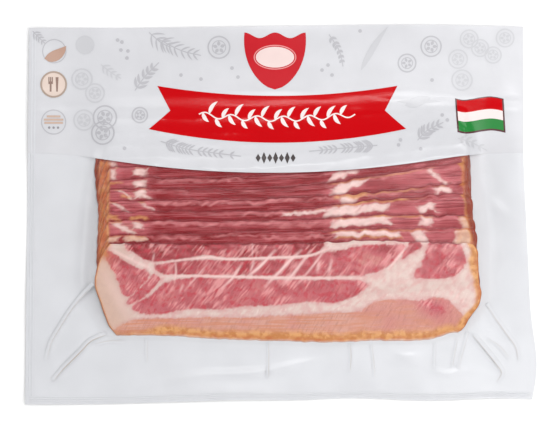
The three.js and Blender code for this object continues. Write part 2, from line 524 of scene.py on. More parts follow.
def grid_faces(rows, columns, offset=0, flip=False, ring=False):
    """Four-sided faces of a grid of points numbered row by row. A ring's last column joins its
    first one."""
    column = np.arange(columns if ring else columns - 1)
    row = np.arange(rows - 1)[:, None]
    after = (column + 1) % columns
    corners = np.stack([row * columns + column, row * columns + after,
                        (row + 1) * columns + after, (row + 1) * columns + column], axis=-1)
    faces = corners.reshape(-1, 4) + offset
    return faces[:, ::-1] if flip else faces


def slab(x, y, top, bottom, ring=False):
    """Points and faces of a closed slab between two heights over one grid: the upper face, the
    lower face turned over, and a wall round the rim."""
    rows, columns = x.shape
    count = rows * columns
    points = np.concatenate([np.stack([x, y, level], axis=-1).reshape(-1, 3)
                             for level in (top, bottom)])
    number = np.arange(count).reshape(rows, columns)
    if ring:
        rims = [np.append(number[0], number[0, 0]), np.append(number[-1], number[-1, 0])[::-1]]
    else:
        rims = [np.concatenate([number[0], number[1:, -1], number[-1, -2::-1], number[-2::-1, 0]])]
    walls = [np.stack([rim[:-1] + count, rim[1:] + count, rim[1:], rim[:-1]], axis=-1)
             for rim in rims]
    faces = [grid_faces(rows, columns, ring=ring),
             grid_faces(rows, columns, count, flip=True, ring=ring), *walls]
    return points, np.concatenate(faces)


def joined(slabs):
    """Several slabs as one set of points and faces."""
    starts = np.cumsum([0] + [len(points) for points, _ in slabs[:-1]])
    points = np.concatenate([points for points, _ in slabs])
    return points, np.concatenate([faces + start for (_, faces), start in zip(slabs, starts)])


def piece(name, points, faces, material, slot, fields=None, sharp=None):
    """A finished piece of the pack: its mesh in metres, its fields of numbers, its material, and
    what it rides on. The slot it is given is not used."""
    mesh = bpy.data.meshes.new(name)
    mesh.from_pydata(points * MM, [], faces)
    mesh.update()
    mesh.polygons.foreach_set("use_smooth", np.ones(len(mesh.polygons), bool))
    if sharp is not None:
        mesh.set_sharp_from_angle(angle=math.radians(sharp))
    for label, values in (fields or {}).items():
        attribute = mesh.attributes.new(label, "FLOAT", "POINT")
        attribute.data.foreach_set("value", np.asarray(values, np.float32).ravel())
    mesh.materials.append(material)
    made = bpy.data.objects.new(name, mesh)
    bpy.context.scene.collection.objects.link(made)
    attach(made, BODY)
    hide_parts(NODE)


def spaced(low, high, step):
    """Even values from low to high, both included, no further apart than step."""
    return np.linspace(low, high, int(math.ceil((high - low) / step)) + 1)


def runs(*stretches):
    """Several runs of even values, each of which starts where the last one ends."""
    values = [spaced(*stretch) for stretch in stretches]
    return np.concatenate([values[0], *(run[1:] for run in values[1:])])


# ---------------------------------------------------------------- shader nodes


def add(tree, kind, values=None, **choices):
    """A node with its settings, and with the values of its inputs by name or number."""
    made = tree.nodes.new(kind)
    for label, choice in choices.items():
        setattr(made, label, choice)
    for label, value in (values or {}).items():
        if isinstance(value, bpy.types.NodeSocket):
            tree.links.new(value, made.inputs[label])
        else:
            made.inputs[label].default_value = value
    return made


def maths(tree, operation, *values):
    """A Math node's result."""
    made = add(tree, "ShaderNodeMath", dict(enumerate(values)), operation=operation)
    return made.outputs[0]


def blend(tree, factor, first, second):
    """A mix of two colours. A plain colour is given as three numbers."""
    def full(value):
        return value if isinstance(value, bpy.types.NodeSocket) else (*value, 1.0)

    made = add(tree, "ShaderNodeMix", {0: factor, 6: full(first), 7: full(second)},
               data_type="RGBA")
    return made.outputs[2]


def between(tree, value, low, high, start=0.0, end=1.0):
    """A value mapped from low..high to start..end along an S curve."""
    made = add(tree, "ShaderNodeMapRange", {0: value, 1: low, 2: high, 3: start, 4: end},
               interpolation_type="SMOOTHSTEP")
    return made.outputs[0]


def field(tree, name):
    """A field of numbers stored on the mesh."""
    return add(tree, "ShaderNodeAttribute", attribute_name=name).outputs["Fac"]


def new_group(name, inputs, outputs):
    """An empty shader group with named number inputs and outputs, and its two end nodes."""
    group = bpy.data.node_groups.new(name, "ShaderNodeTree")
    for label, default in inputs.items():
        socket = group.interface.new_socket(label, in_out="INPUT", socket_type="NodeSocketFloat")
        socket.default_value = default
    for label in outputs:
        group.interface.new_socket(label, in_out="OUTPUT", socket_type="NodeSocketFloat")
    return group, group.nodes.new("NodeGroupInput"), group.nodes.new("NodeGroupOutput")


def mottle_group():
    """Soft uneven patches from object coordinates. Size is the patches' size in metres; Value runs
    from 0 to 1 about a half."""
    group, start, end = new_group("Mottle", {"Size": 0.01, "Detail": 3.0}, ("Value",))
    where = add(group, "ShaderNodeTexCoord").outputs["Object"]
    scale = maths(group, "DIVIDE", 1.0, start.outputs["Size"])
    texture = add(group, "ShaderNodeTexNoise", {"Vector": where, "Scale": scale,
                                                "Detail": start.outputs["Detail"]})
    group.links.new(texture.outputs["Fac"], end.inputs["Value"])


def fibre_group():
    """Fine lines from object coordinates. Size is their width in metres, Stretch how many widths
    long they are, and Angle which way they run."""
    inputs = {"Size": 0.001, "Stretch": 6.0, "Angle": 1.0}
    group, start, end = new_group("Fibres", inputs, ("Value",))
    where = add(group, "ShaderNodeTexCoord").outputs["Object"]
    turned = add(group, "ShaderNodeVectorRotate", {"Vector": where, "Angle": start.outputs["Angle"]},
                 rotation_type="Z_AXIS", invert=True)
    long = maths(group, "MULTIPLY", start.outputs["Size"], start.outputs["Stretch"])
    size = add(group, "ShaderNodeCombineXYZ", {0: long, 1: start.outputs["Size"], 2: long})
    scaled = add(group, "ShaderNodeVectorMath", {0: turned.outputs[0], 1: size.outputs[0]},
                 operation="DIVIDE")
    texture = add(group, "ShaderNodeTexNoise", {"Vector": scaled.outputs[0], "Scale": 1.0,
                                                "Detail": 3.0, "Distortion": 0.4})
    group.links.new(texture.outputs["Fac"], end.inputs["Value"])


def group_value(tree, name, build, **values):
    """The Value of a shader group's node. The group is built the first time it is asked for."""
    if name not in bpy.data.node_groups:
        build()
    made = add(tree, "ShaderNodeGroup", node_tree=bpy.data.node_groups[name])
    for label, value in values.items():
        made.inputs[label].default_value = value
    return made.outputs["Value"]


def mottle(tree, size, detail=3.0):
    """Soft patches of a size in millimetres."""
    return group_value(tree, "Mottle", mottle_group, Size=size * MM, Detail=detail)


def fibres(tree, size, stretch, angle):
    """Fine lines of a width in millimetres, so many widths long, at an angle in degrees."""
    return group_value(tree, "Fibres", fibre_group, Size=size * MM, Stretch=stretch,
                       Angle=math.radians(angle))


def new_material(name, roughness, **sockets):
    """A material with a Principled shader. Returns it with its tree and shader."""
    material = bpy.data.materials.new(name)
    material.use_nodes = True
    tree = material.node_tree
    shader = tree.nodes["Principled BSDF"]
    shader.inputs["Roughness"].default_value = roughness
    for label, value in sockets.items():
        shader.inputs[label.replace("_", " ")].default_value = value
    return material, tree, shader


def bump_normal(tree, height, distance):
    """A normal from a height that runs from 0 to 1, over a distance in millimetres."""
    made = add(tree, "ShaderNodeBump", {"Height": height, "Distance": distance * MM, "Strength": 1.0})
    return made.outputs["Normal"]


def plastic_material(name, tint, roughness=0.32, unevenness=0.05, shine=0.5):
    """Printed or plain film: its colour varies a little in soft patches, and its face has the
    faint waviness of thin plastic."""
    material, tree, shader = new_material(name, roughness, Specular_IOR_Level=shine)
    shade = tuple(channel * (1 - unevenness) for channel in tint)
    base = blend(tree, between(tree, mottle(tree, 18), 0.3, 0.7), shade, tint)
    tree.links.new(base, shader.inputs["Base Color"])
    tree.links.new(bump_normal(tree, mottle(tree, 1.2, 4.0), 0.02), shader.inputs["Normal"])
    return material


GRAZING_GLOSS, PLAIN_GLOSS = 0.22, 0.009    # shares of gloss in the clear film


def clear_film_material():
    """Clear film: see-through, with gloss that grows with a power towards grazing angles."""
    material = bpy.data.materials.new("clear_film")
    material.use_nodes = True
    tree = material.node_tree
    tree.nodes.clear()
    fine = bump_normal(tree, mottle(tree, 2.2, 3.0), 0.06)
    gloss = add(tree, "ShaderNodeBsdfGlossy", {"Color": (1, 1, 1, 1), "Roughness": 0.2,
                                               "Normal": fine})
    clear = add(tree, "ShaderNodeBsdfTransparent", {"Color": (1, 1, 1, 1)})
    facing = add(tree, "ShaderNodeLayerWeight", {"Blend": 0.5}).outputs["Facing"]
    grazing = maths(tree, "POWER", facing, 4.0)
    share = maths(tree, "MULTIPLY_ADD", grazing, GRAZING_GLOSS, PLAIN_GLOSS)
    shiny = add(tree, "ShaderNodeMixShader", {0: share, 1: clear.outputs[0], 2: gloss.outputs[0]})
    end = add(tree, "ShaderNodeOutputMaterial")
    tree.links.new(shiny.outputs[0], end.inputs["Surface"])
    return material


def both(tree, *masks):
    """Where all of several masks hold: their product."""
    result = masks[0]
    for mask in masks[1:]:
        result = maths(tree, "MULTIPLY", result, mask)
    return result


def lean_colour(tree, colours, tone, behind, grain):
    """Lean meat: its paleness from dark over pink to cured, then dark and redder patches, pale
    gathers on the front slice, and pale lines on the ones behind it."""
    ramp = add(tree, "ShaderNodeValToRGB", {0: tone})
    stops = ramp.color_ramp.elements
    stops[0].color, stops[1].color = (*colours.lean, 1), (*colours.cured, 1)
    stops.new(0.5).color = (*colours.pink, 1)
    in_front = maths(tree, "SUBTRACT", 1.0, behind)
    mostly_in_front = maths(tree, "MULTIPLY_ADD", behind, -0.8, 1.0)
    not_cured = between(tree, tone, 0.85, 0.5)
    gathers = both(tree, fibres(tree, 1.1, 6.0, 52), mottle(tree, 9.0, 1.0))
    layers = (
        (between(tree, grain, 0.54, 0.3), maths(tree, "MULTIPLY_ADD", behind, 0.45, 0.25),
         tuple(channel * 0.6 for channel in colours.lean)),
        (between(tree, mottle(tree, 2.4, 4.0), 0.5, 0.64, 0, 0.6),
         both(tree, mostly_in_front, not_cured), linear(192, 60, 72)),
        (between(tree, gathers, 0.23, 0.4, 0, 0.6), both(tree, in_front, not_cured),
         linear(238, 172, 170)),
        (between(tree, fibres(tree, 0.6, 30.0, 1), 0.46, 0.68, 0, 0.5), behind, colours.pink),
        (between(tree, fibres(tree, 0.8, 22.0, 1), 0.42, 0.62, 0, 0.75),
         between(tree, tone, 0.7, 0.95), linear(206, 136, 106)),
    )
    meat = ramp.outputs[0]
    for pattern, place_on, tint in layers:
        meat = blend(tree, both(tree, pattern, place_on), meat, tint)
    return meat


def fat_colour(tree, colours, depth):
    """Fat: pinker in patches, with threads and glints, warmer at the ends of the front slice, and
    pink beside the lean."""
    pink_fat = tuple(f * 0.72 + p * 0.28 for f, p in zip(colours.fat, colours.pink))
    fat = colours.fat
    for mask, tint in (
        (between(tree, mottle(tree, 4.0), 0.38, 0.68), pink_fat),
        (between(tree, fibres(tree, 1.8, 3.0, 40), 0.45, 0.68, 0, 0.4), linear(218, 160, 156)),
        (between(tree, fibres(tree, 0.9, 4.0, 60), 0.56, 0.72, 0, 0.35), linear(246, 226, 220)),
        (field(tree, "warm"), linear(209, 180, 168)),
        (between(tree, depth, -2.2, -0.2, 0, 0.22), colours.pink),
    ):
        fat = blend(tree, mask, fat, tint)
    return fat


def bacon_material(colours):
    """Cured meat. The mesh carries how deep each point lies inside the lean (in millimetres), how
    pale the lean is, and how much rind, smoke, streak and shade it has. Streak is pale lines, with a
    painted highlight along the crests; shade is painted shade. Noise makes the edges of the lean
    uneven and puts flecks of fat into it."""
    material, tree, shader = new_material("bacon", 0.4, Specular_IOR_Level=0.18)
    tone, behind = field(tree, "tone"), field(tree, "behind")
    coarse = maths(tree, "SUBTRACT", mottle(tree, 2.4, 3.0), 0.5)
    fine = maths(tree, "SUBTRACT", fibres(tree, 0.7, 4.0, 60), 0.5)
    uneven = maths(tree, "ADD", maths(tree, "MULTIPLY", coarse, 1.8),
                   maths(tree, "MULTIPLY", fine, 1.6))
    calmer = maths(tree, "MULTIPLY_ADD", behind, -0.5, 1.0)
    depth = maths(tree, "MULTIPLY_ADD", uneven, calmer, field(tree, "lean"))
    is_lean = between(tree, depth, -0.75, 0.5)
    grain = add(tree, "ShaderNodeMix", {0: behind, 2: fibres(tree, 0.55, 9.0, 62),
                                        3: fibres(tree, 0.6, 30.0, 2)}).outputs[0]
    base = blend(tree, is_lean, fat_colour(tree, colours, depth),
                 lean_colour(tree, colours, tone, behind, grain))

    pale_line_and_highlight = blend(tree, both(tree, is_lean, behind), linear(246, 210, 206),
                      linear(234, 150, 152))
    rind = blend(tree, between(tree, mottle(tree, 3.0, 3.0), 0.42, 0.6), colours.rind,
                 linear(196, 130, 76))
    smoked = blend(tree, between(tree, mottle(tree, 3.6, 2.0), 0.4, 0.64), colours.smoked,
                   linear(196, 126, 78))
    # Over the base go the pale lines with the painted crest highlight, the rind, the smoke and the
    # painted shade, in that order.
    for label, tint in (("streak", pale_line_and_highlight), ("rind", rind), ("smoke", smoked),
                        ("shade", linear(118, 24, 32))):
        base = blend(tree, field(tree, label), base, tint)
    tree.links.new(base, shader.inputs["Base Color"])

    relief = maths(tree, "ADD", maths(tree, "MULTIPLY", is_lean, -0.5),
                   maths(tree, "ADD", grain, mottle(tree, 0.9, 3.0)))
    tree.links.new(bump_normal(tree, relief, 0.12), shader.inputs["Normal"])
    rough = between(tree, mottle(tree, 1.5), 0.3, 0.7, 0.32, 0.5)
    tree.links.new(rough, shader.inputs["Roughness"])
    return material


# ---------------------------------------------------------------- the look of the slices

# The front slice's muscles: how pale each is, from 0 for dark to 1 for cured, and its outline.
MUSCLES = (
    (0.22, ((-77, -16), (-72, -12), (-40, -12), (-10, -12), (15, -12), (21, -15.5), (14, -19.4),
            (-1, -20.4), (-20, -21), (-31, -20.6), (-37, -19.6), (-44, -20.9), (-60, -22.9),
            (-67, -22), (-72, -19))),
    (0.36, ((-62.5, -25.8), (-57, -24.4), (-40.5, -22.9), (-20.5, -23.3), (-3, -22.7), (8, -22.5),
            (15, -21.4), (21, -19.4), (30, -18.1), (38, -16.2), (50, -15.4), (60, -15.2),
            (62, -16.4), (58, -20.3), (53, -25.6), (46, -28.6), (38, -30.1), (17, -30.3),
            (-10, -30.0), (-40.5, -29.5), (-58, -29.1))),
    (0.46, ((-57.5, -34.6), (-50, -32.5), (-40.5, -31.8), (-20.5, -32.3), (0, -32.8), (20, -32.9),
            (36, -32.9), (42.6, -35.1), (39, -38.6), (33, -41.8), (25, -43.6), (12, -43.3),
            (0, -44.6), (-20.5, -45.6), (-30, -46.9), (-45, -46.6), (-56, -48.5), (-64, -49.5),
            (-72, -48), (-73.4, -45.4), (-66.5, -41.8), (-61.5, -37.6))),
    (0.45, ((-63.4, -30.4), (-60.6, -32.2), (-64.5, -36.8), (-69.5, -41.4), (-75.5, -44.2),
            (-76.5, -43.2), (-71.5, -38.4), (-66.5, -33.6))),
    (0.49, ((-88, -18.5), (-85, -18.6), (-77.5, -23.6), (-70, -27.4), (-65.6, -29.6),
            (-69, -34.8), (-75.5, -40.2), (-78.6, -39), (-80, -35), (-82, -29.5), (-85.5, -23.5))),
    (0.43, ((73, -16.5), (76.5, -12), (86, -12), (90.6, -19), (91.5, -24), (88, -28.6),
            (82.5, -31.2), (73.5, -31.8), (66.4, -30.6), (69.5, -25.8), (71.6, -21.3))),
    (0.36, ((65, -13), (69.5, -15.4), (65, -18.6), (60.6, -21.8), (62, -18))),
    (0.88, ((36, -52), (40.5, -48), (45, -44.8), (51, -43), (60.5, -42.7), (69.5, -43.3),
           (76.5, -41.7), (82.5, -42.6), (86, -46), (89.8, -50), (90.5, -53.4), (88, -57),
           (62, -60.6), (44, -60.4), (38, -56))),
    (0.95, ((-82, -59.5), (-79.5, -55.6), (-70.5, -52.6), (-40.5, -51.8), (-20.5, -51.8),
            (10, -50.2), (30, -49.2), (43, -49.6), (46, -60), (10, -61.8), (-40, -59.4),
            (-66, -59.4))),
)
# Pale gathers that cross the front slice: the points they run through, their width and strength.
GATHERS = (
    (((-60, -31), (-50, -30.6), (-40, -30.5), (-20, -31), (0, -31.4), (20, -31.6), (40, -31.6)),
     0.55, 0.75),
    (((-61, -24.6), (-50, -22.6), (-40.5, -21.6), (-34.5, -21.1), (-28, -22.1), (-18, -22),
      (-9.5, -21.6), (9.5, -20.8), (17, -19.6), (22, -17.4), (30, -16.4)), 0.5, 0.8),
    (((-85, -17), (-78, -20.5), (-70, -24.5), (-62, -27.5)), 0.8, 0.5),
    (((-36, -24), (-42, -31), (-48, -38)), 0.5, 0.5),
    (((22, -17), (17, -24), (9, -34)), 0.6, 0.6),
    (((63, -15.2), (58, -21.5), (53.5, -27)), 0.5, 0.8),
    (((-3, -17.8), (-10.5, -25.8), (-16.8, -30.8)), 0.8, 0.95),
    (((10, -17.8), (4.5, -22.8), (-0.5, -28.2), (-8, -35.8)), 0.8, 0.9),
    (((14.5, -18.3), (7, -28.2), (2.5, -33.2)), 0.8, 0.8),
    (((-19.2, -24), (-24.2, -31.5), (-29.2, -36.5)), 0.7, 0.7),
    (((-13, -22.2), (-15.5, -29)), 0.6, 0.6),
    (((-14, -9.5), (-14.3, -23.5)), 0.35, 0.45),
    (((-52.5, -22.8), (-52.2, -29), (-53, -34)), 0.5, 0.7),
    (((-62.8, -19), (-64, -24)), 0.5, 0.5),
    (((-48.5, -34.2), (-50.5, -39)), 0.6, 0.4),
    (((19, -22.8), (18, -28.6)), 0.8, 0.5),
    (((25.5, -21.4), (23.5, -29.4)), 0.8, 0.5),
    (((-89, -25), (-87, -31), (-83, -38.5), (-79, -46), (-76, -52)), 2.6, 0.26),
)
# Behind the front slice only narrow strips show. Each strip's patches, from the second slice on:
# its kind, where it starts and ends along X, its least and greatest depth under the upper edge,
# and how far it slants to the right for each millimetre of depth.
STRIP_PATCHES = (
    (("tan", -85.5, -80, 0.4, 3.4, 0), ("tan", -78, -67, 0.3, 3.2, 0.1),
     ("pale", -66, -38, 1.4, 2.4, 0), ("pale", -12, 30, 2.0, 3.2, 0),
     ("pale", -38, -14, 0.8, 1.6, 0),
     ("fat", 26, 60, 0.7, 3.8, 0.1), ("gold", 28, 60, 3.4, 4.4, 0), ("pale", 28, 64, 5.2, 6.6, 0),
     ("pink", 58, 66, 0, 8, 0), ("fat", 65, 72, 0.8, 7, 0.3), ("pink", 74, 90, 2, 9, 0),
     ("tan", 87, 100, -1, 9, 0)),
    (("pink", -86, -66, 0.3, 7, 0), ("fat", -85.4, -80.8, 0.2, 6.5, 1.4),
     ("fat", -75, -70, 0.3, 4.0, 0.4), ("pale", -68, -26, 0.6, 2.0, 0), ("pale", -30, 8, 0.4, 1.6, 0),
     ("pale", -8, 27, 1.2, 3.2, 0), ("fat", 25, 55, 0.5, 4.8, 0), ("pink", 55, 67, 0, 8, 0),
     ("fat", 68, 74.5, 0.4, 5, 0.2), ("tan", 89.5, 100, -1, 9, 0)),
    (("gold", -88, -80.5, 1.0, 3.6, 0), ("gold", -76, -66, 2.4, 4.2, 0), ("pink", -80, -68, 0, 2.4, 0),
     ("pale", -23, 4, 0.6, 1.8, 0), ("fat", 0, 27, 1.1, 3.0, 0), ("fat", 22, 40, 0.8, 6.0, -0.1),
     ("fat", 38, 54, 1.6, 5.6, 0), ("gold", 27, 54, -1, 0.8, 0), ("pink", 54, 68, 1, 9, 0),
     ("fat", 67, 76, 3.8, 8, 0.2), ("pink", 76, 93, 0.5, 9, 0)),
    (("pink", -87, -64, 0, 7, 0), ("fat", -84.6, -82.0, -0.3, 7, 1.3),
     ("fat", -72, -69.4, -0.2, 4.6, 1.2), ("pale", -64, -26, 0.4, 2.0, 0),
     ("pale", -20, 12, 0.3, 1.7, 0), ("gold", 27, 42, -0.2, 1.6, 0), ("fat", 29, 37, 0.8, 5, 0),
     ("pale", 42, 74, 0.2, 1.2, 0), ("fat", 75, 83, 0.5, 4, 0.4)),
    (("pink", -87, -66, 0.5, 6, 0), ("fat", -83, -80.4, 0, 4.4, 1.8),
     ("gold", -81, -75, 2.4, 3.8, 0.2), ("fat", -73.5, -67.4, 0.6, 4.8, 0.5),
     ("fat", 31, 44, 0.7, 4.4, -1.3), ("fat", 27, 36, 3.0, 8.0, -0.6), ("pale", 44, 76, 0.2, 1.2, 0),
     ("pink", 56, 78, 1, 9, 0), ("fat", 71.5, 74.5, 0.5, 10, 0.9), ("pink", 80, 92, 0.5, 12, 0)),
    (("gold", -86, -79, 0.3, 1.7, 0.3), ("pink", -85, -72, 1, 5, 0), ("pink", -79, -73, 0.6, 4, 0),
     ("fat", -73.4, -67, 0.5, 4.4, 0.1), ("pale", -64, -20, 0.4, 1.4, 0),
     ("fat", 34, 42, 0.5, 3.4, -1.2), ("fat", 28, 36, 2.0, 6, -0.8),
     ("pink", 66, 80, 0, 4, 0), ("fat", 70, 76, 0.8, 2.2, 0), ("pink", 80, 92, 0, 8, 0)),
    (("fat", -86.4, -83, 0, 6, 0.2), ("pink", -83, -74, 0, 6, 0), ("fat", -73.2, -66.8, 0.4, 4.4, 0.1),
     ("fat", 30, 38, 0.5, 6, -0.8), ("pink", 66, 92, 0, 8, 0)),
)
# How strong the painted highlight along each crest is, a pale line where the crest catches the
# light, and how much paler than the others each slice's lean is, from the second slice on.
CREST_SHINE = (0.22, 0.28, 0.28, 0.48, 0.35, 0.32, 0.25)
STRIP_TONES = (-0.05, 0.07, -0.04, 0.0, 0.0, -0.02, 0.0)


def front_lean(x, y):
    """How deep each point of the front slice lies in a muscle, and the tone of the lean there. The
    tone is the mean of the muscles' own, in which a muscle counts the more, the deeper the point
    lies in it, with redder parts in the cured meat and paler ones in the rest."""
    deepest = np.full(x.shape, -np.inf)
    tone, total = np.zeros(x.shape), np.zeros(x.shape)
    for paleness, outline in MUSCLES:
        depth = inside_distance(x, y, closed_curve(outline))
        share = np.exp(depth / 1.2)
        tone, total = tone + paleness * share, total + share
        deepest = np.maximum(deepest, depth + 0.3)
    tone = tone / total
    redder = bump(x, 75.5, 9) * bump(y, -46, 4.4) + 0.4 * bump(x, 82, 11) * bump(y, -53, 5)
    tone = tone - 0.36 * redder * (tone > 0.7) + 0.12 * noise(x / 6, y / 6, 30)
    tone = tone + 0.16 * noise(x / 3.4 + y / 5, y / 2.2, 52) * smooth(-34, -30, y) * (tone < 0.7)
    return deepest, tone + 0.3 * bump(x, 48, 14) * bump(y, -22, 5)


def gathers_at(x, y):
    """Strength of the pale gathers: each fades out at its ends and to both sides."""
    streak = np.zeros(x.shape)
    for points, width, strength in GATHERS:
        distance, along = curve_distance(x, y, points)
        ends = np.sin(np.pi * np.clip(along, 0.05, 0.95)) ** 0.5
        streak = np.maximum(streak, strength * ends * np.exp(-(distance / width) ** 2))
    return streak


def front_edges(x, y, from_left, from_right, from_foot):
    """The front slice's rind and smoke, from the distances to three of its edges: a golden band
    along the foot and the right end, tan down the left end, brown at the ends and in spots along
    the foot, and a dark line there with a pale fringe outside it."""
    thick = 1.0 + 3.2 * smooth(-74, -56, x) + 0.9 * noise(x / 5, 0.5, 31) - 1.4 * smooth(82, 90, x)
    rind = 1 - smooth(thick - 1.4, thick + 2.6, from_foot)
    band = 1.8 + 2.2 * bump(y, -24, 9) + 2.6 * bump(y, -53, 7) + 0.7 * noise(y / 4, 1.5, 32)
    rind = np.maximum(rind, 1 - smooth(band - 0.9, band + 1.9, from_right))
    tan = 0.14 * (1 - smooth(2.0, 14.0, from_left)) * smooth(-16, -24, y)
    rind = np.maximum(rind, np.maximum(tan, 0.45 * (1 - smooth(0.4, 2.4, from_left)) * (y < -14)))
    corner = bump(x, -87.5, 2.6) * bump(y, -19.5, 3.2)
    smoke = np.maximum(1 - smooth(0.2, 1.0, np.minimum(from_left, from_right * 1.2)), 0.8 * corner)
    spots = smooth(-0.2, 0.5, noise(x / 4.5, 0.5 + y / 9, 29)) * (1 - smooth(1.2, 3.0, from_foot))
    smoke = np.maximum(smoke, 0.8 * spots * smooth(-64, -56, x))
    side_spots = smooth(0.0, 0.7, noise(y / 4.5, 3.5, 28)) * (1 - smooth(1.2, 3.0, from_right))
    smoke = np.maximum(smoke, 0.8 * side_spots)
    foot_line = bump(from_foot, 1.9, 0.8) * (0.5 + 0.45 * noise(x / 3.3, 2.5, 53))
    # The pale fringe at the very foot, where rind and smoke fade out and the fat shows: partly thin
    # fat, partly a painted highlight where the film bridges the edge.
    fringe = smooth(0.0, 1.6, from_foot + 0.4 * noise(x / 2.2, 7.5, 55))
    return rind * (0.3 + 0.7 * fringe), np.maximum(smoke * fringe, foot_line)


def front_fields(x, y, left, right, top, foot):
    """The front slice's fields: its muscles, edges and gathers, painted shade on the lean right under
    the upper edge, and warmer fat at the left end."""
    lean, tone = front_lean(x, y)
    rind, smoke = front_edges(x, y, x - left, right - x, y - foot)
    shade = 0.5 * (1 - smooth(0.15, 0.6, top - y)) * smooth(-0.4, 0.6, lean)
    warm = (1 - smooth(9, 20, x - left)) * smooth(-14, -24, y)
    warm = np.maximum(warm, 0.8 * bump(x, -79, 5) * bump(y, -17.5, 3.5))
    return dict(lean=lean, tone=tone, rind=rind, smoke=smoke, streak=gathers_at(x, y),
                shade=shade, warm=warm)


def strip_lean(index, x, depth):
    """The lean, tone, rind and streak of a slice behind the front one, at depths under its upper
    edge: dark lean with its patches of fat, pink, tan, gold and pale lines, and along its crest
    painted light: paler lean and a pale highlight line."""
    wide = x + 1.5 * noise(depth / 2.2 + index * 9, x / 9, 33) + 0.6 * noise(depth / 0.9, x / 4, 46)
    deep = depth + 0.7 * noise(x / 3.2, index * 3.3, 34) + 0.4 * noise(x / 1.3, depth, 37)
    lean = np.full(x.shape, 5.0)
    # Paler just under the crest: painted light on the crest.
    tone = (0.03 + 0.1 * (1 - smooth(0.0, 2.6, depth)) + 0.12 * smooth(40, 70, x)
            + 0.14 * noise(x / 12, index * 1.3 + depth / 1.6, 35))
    order = min(index, len(STRIP_PATCHES)) - 1
    tone = tone + STRIP_TONES[order]
    rind, streak = np.zeros(x.shape), np.zeros(x.shape)
    for kind, start, end, top, bottom, slant in STRIP_PATCHES[order]:
        along = (end - start) / 2 - np.abs(wide - (start + end) / 2 - slant * depth)
        inside = np.minimum(0.5 * along, (bottom - top) / 2 - np.abs(deep - (top + bottom) / 2))
        if kind == "fat":
            lean = np.minimum(lean, -inside)
            broken = 0.48 + 0.34 * noise(x / 2.4, deep / 0.9 + index * 5, 56)
            streak = np.maximum(streak, broken * smooth(0.1, 1.3, inside))
            tone = tone + 0.2 * smooth(-2.6, 0.0, inside)
        elif kind == "pink":
            tone = tone + 0.19 * smooth(-1.6, 1.6, inside)
        elif kind == "tan":
            lean = np.minimum(lean, -inside)
            rind = np.maximum(rind, 0.5 * smooth(-0.6, 1.5, inside))
        elif kind == "gold":
            rind = np.maximum(rind, 0.7 * smooth(-0.6, 0.8, inside))
        else:
            ends = smooth(0, 6, wide - start) * smooth(0, 6, end - wide)
            broken = 0.75 + 0.5 * noise((x + 1.5 * depth) / 2.2, index * 2.3, 54)
            streak = np.maximum(streak, 0.5 * broken * ends * smooth(-0.9, 0.5, inside))
    # A painted highlight along the crest, broken up along X.
    crest_highlight = smooth(-0.4, 0.4, noise(x / 8, index * 2.1, 51)) * bump(deep, 0.95, 0.55)
    streak = np.maximum(streak, CREST_SHINE[order] * crest_highlight * smooth(-70, -64, x))
    return lean, tone, rind, streak


def strip_fields(index, x, y, left, right):
    """The fields of a slice of which only its upper edge shows: its lean, smoked ends and crests of
    fat, gilt along the right half of its crest, and shade at its ends and where it goes under the
    slice before it."""
    depth = upper_edge(index, x) - y
    lean, tone, rind, streak = strip_lean(index, x, depth)
    crest = 1 - smooth(0.3, 1.0, depth + 0.2 * noise(x / 2.3, index, 38))
    smoke = 1 - smooth(-87.2, -85.8, x + 0.5 * noise(y / 2.4, index, 36))
    smoke = np.maximum(smoke, 0.8 * (1 - smooth(-0.5, 0.8, lean)) * crest)
    smoke = np.maximum(smoke, 1 - smooth(2.6, 4.2, right - x + 0.4 * noise(y / 3, index, 39)))
    gilt = bump(depth + 0.3 * noise(x / 2.3, index, 38), 0.5, 0.5) * smooth(22, 30, x)
    gilt = gilt * (1 - smooth(62, 78, x)) * (0.45 + 0.5 * noise(x / 5, index * 2.1, 57))
    rind = np.maximum(np.maximum(rind * (1 - 0.6 * crest), gilt), 0.8 * bump(x, -86.2, 1.0))
    rind = np.maximum(rind, 0.9 * (1 - smooth(3.0, 5.0, right - x)) * (index < 4))
    # Painted shade in the crevice where this slice goes under the one before it.
    above = y - upper_edge(index - 1, x)
    cover = 1 - smooth(0.0, 1.9, above + 0.5 * noise(x / 2.0, index, 40))
    shade = (0.5 if index == 2 else 0.7) * cover ** 1.2
    shade = np.where(above > -2, shade * (1 - 0.75 * np.maximum(smoke, rind)), 0)
    shade = np.maximum(shade, 0.18 * (1 - smooth(0.1, 1.0, np.minimum(x - left, right - x))))
    outer = np.minimum(x + 91.8, 97 - 5 * smooth(-20, 10, y) - x)
    shade = np.maximum(shade, 0.72 * (1 - smooth(0.0, 2.0, outer)))
    return dict(lean=lean, tone=tone, rind=rind, smoke=smoke, streak=streak, shade=shade,
                warm=0.5 * smooth(-60, -75, x))


SLICE_LENGTH = 190      # a slice's size from end to end
RIM = np.array((0, 0.08, 0.25, 0.5, 0.8))   # distances in from an edge, where the grid is densest
CLEARANCE = 0.04        # how far each slice stays over the ones below
DOWN_STEPS = (0.42, 0.4, 3)     # the grid's steps down the front slice, and down the others where
                                # they show and where they are hidden
ACROSS_STEPS = (0.5, 0.45, 1.5)     # across the front slice, the other shown ones and the hidden ones
SHOWN = 8               # how many slices show


def slice_grid(index, width):
    """The shares of the way down and across a slice, on a grid. Rows are close together over the
    part that shows."""
    inner = RIM[-1] + 0.4
    front, shown, hidden = DOWN_STEPS
    if index == 0:
        rows = [spaced(inner, width - inner, front)]
    else:
        rows = [spaced(inner, 12, shown), spaced(14, width - inner, hidden)]
    down = np.concatenate([RIM, *rows, width - RIM[::-1]]) / width
    step = ACROSS_STEPS[0 if index == 0 else 1 if index < SHOWN else 2]
    across = np.concatenate([RIM, spaced(inner, SLICE_LENGTH - inner, step),
                             SLICE_LENGTH - RIM[::-1]]) / SLICE_LENGTH
    return np.meshgrid(down, across, indexing="ij")


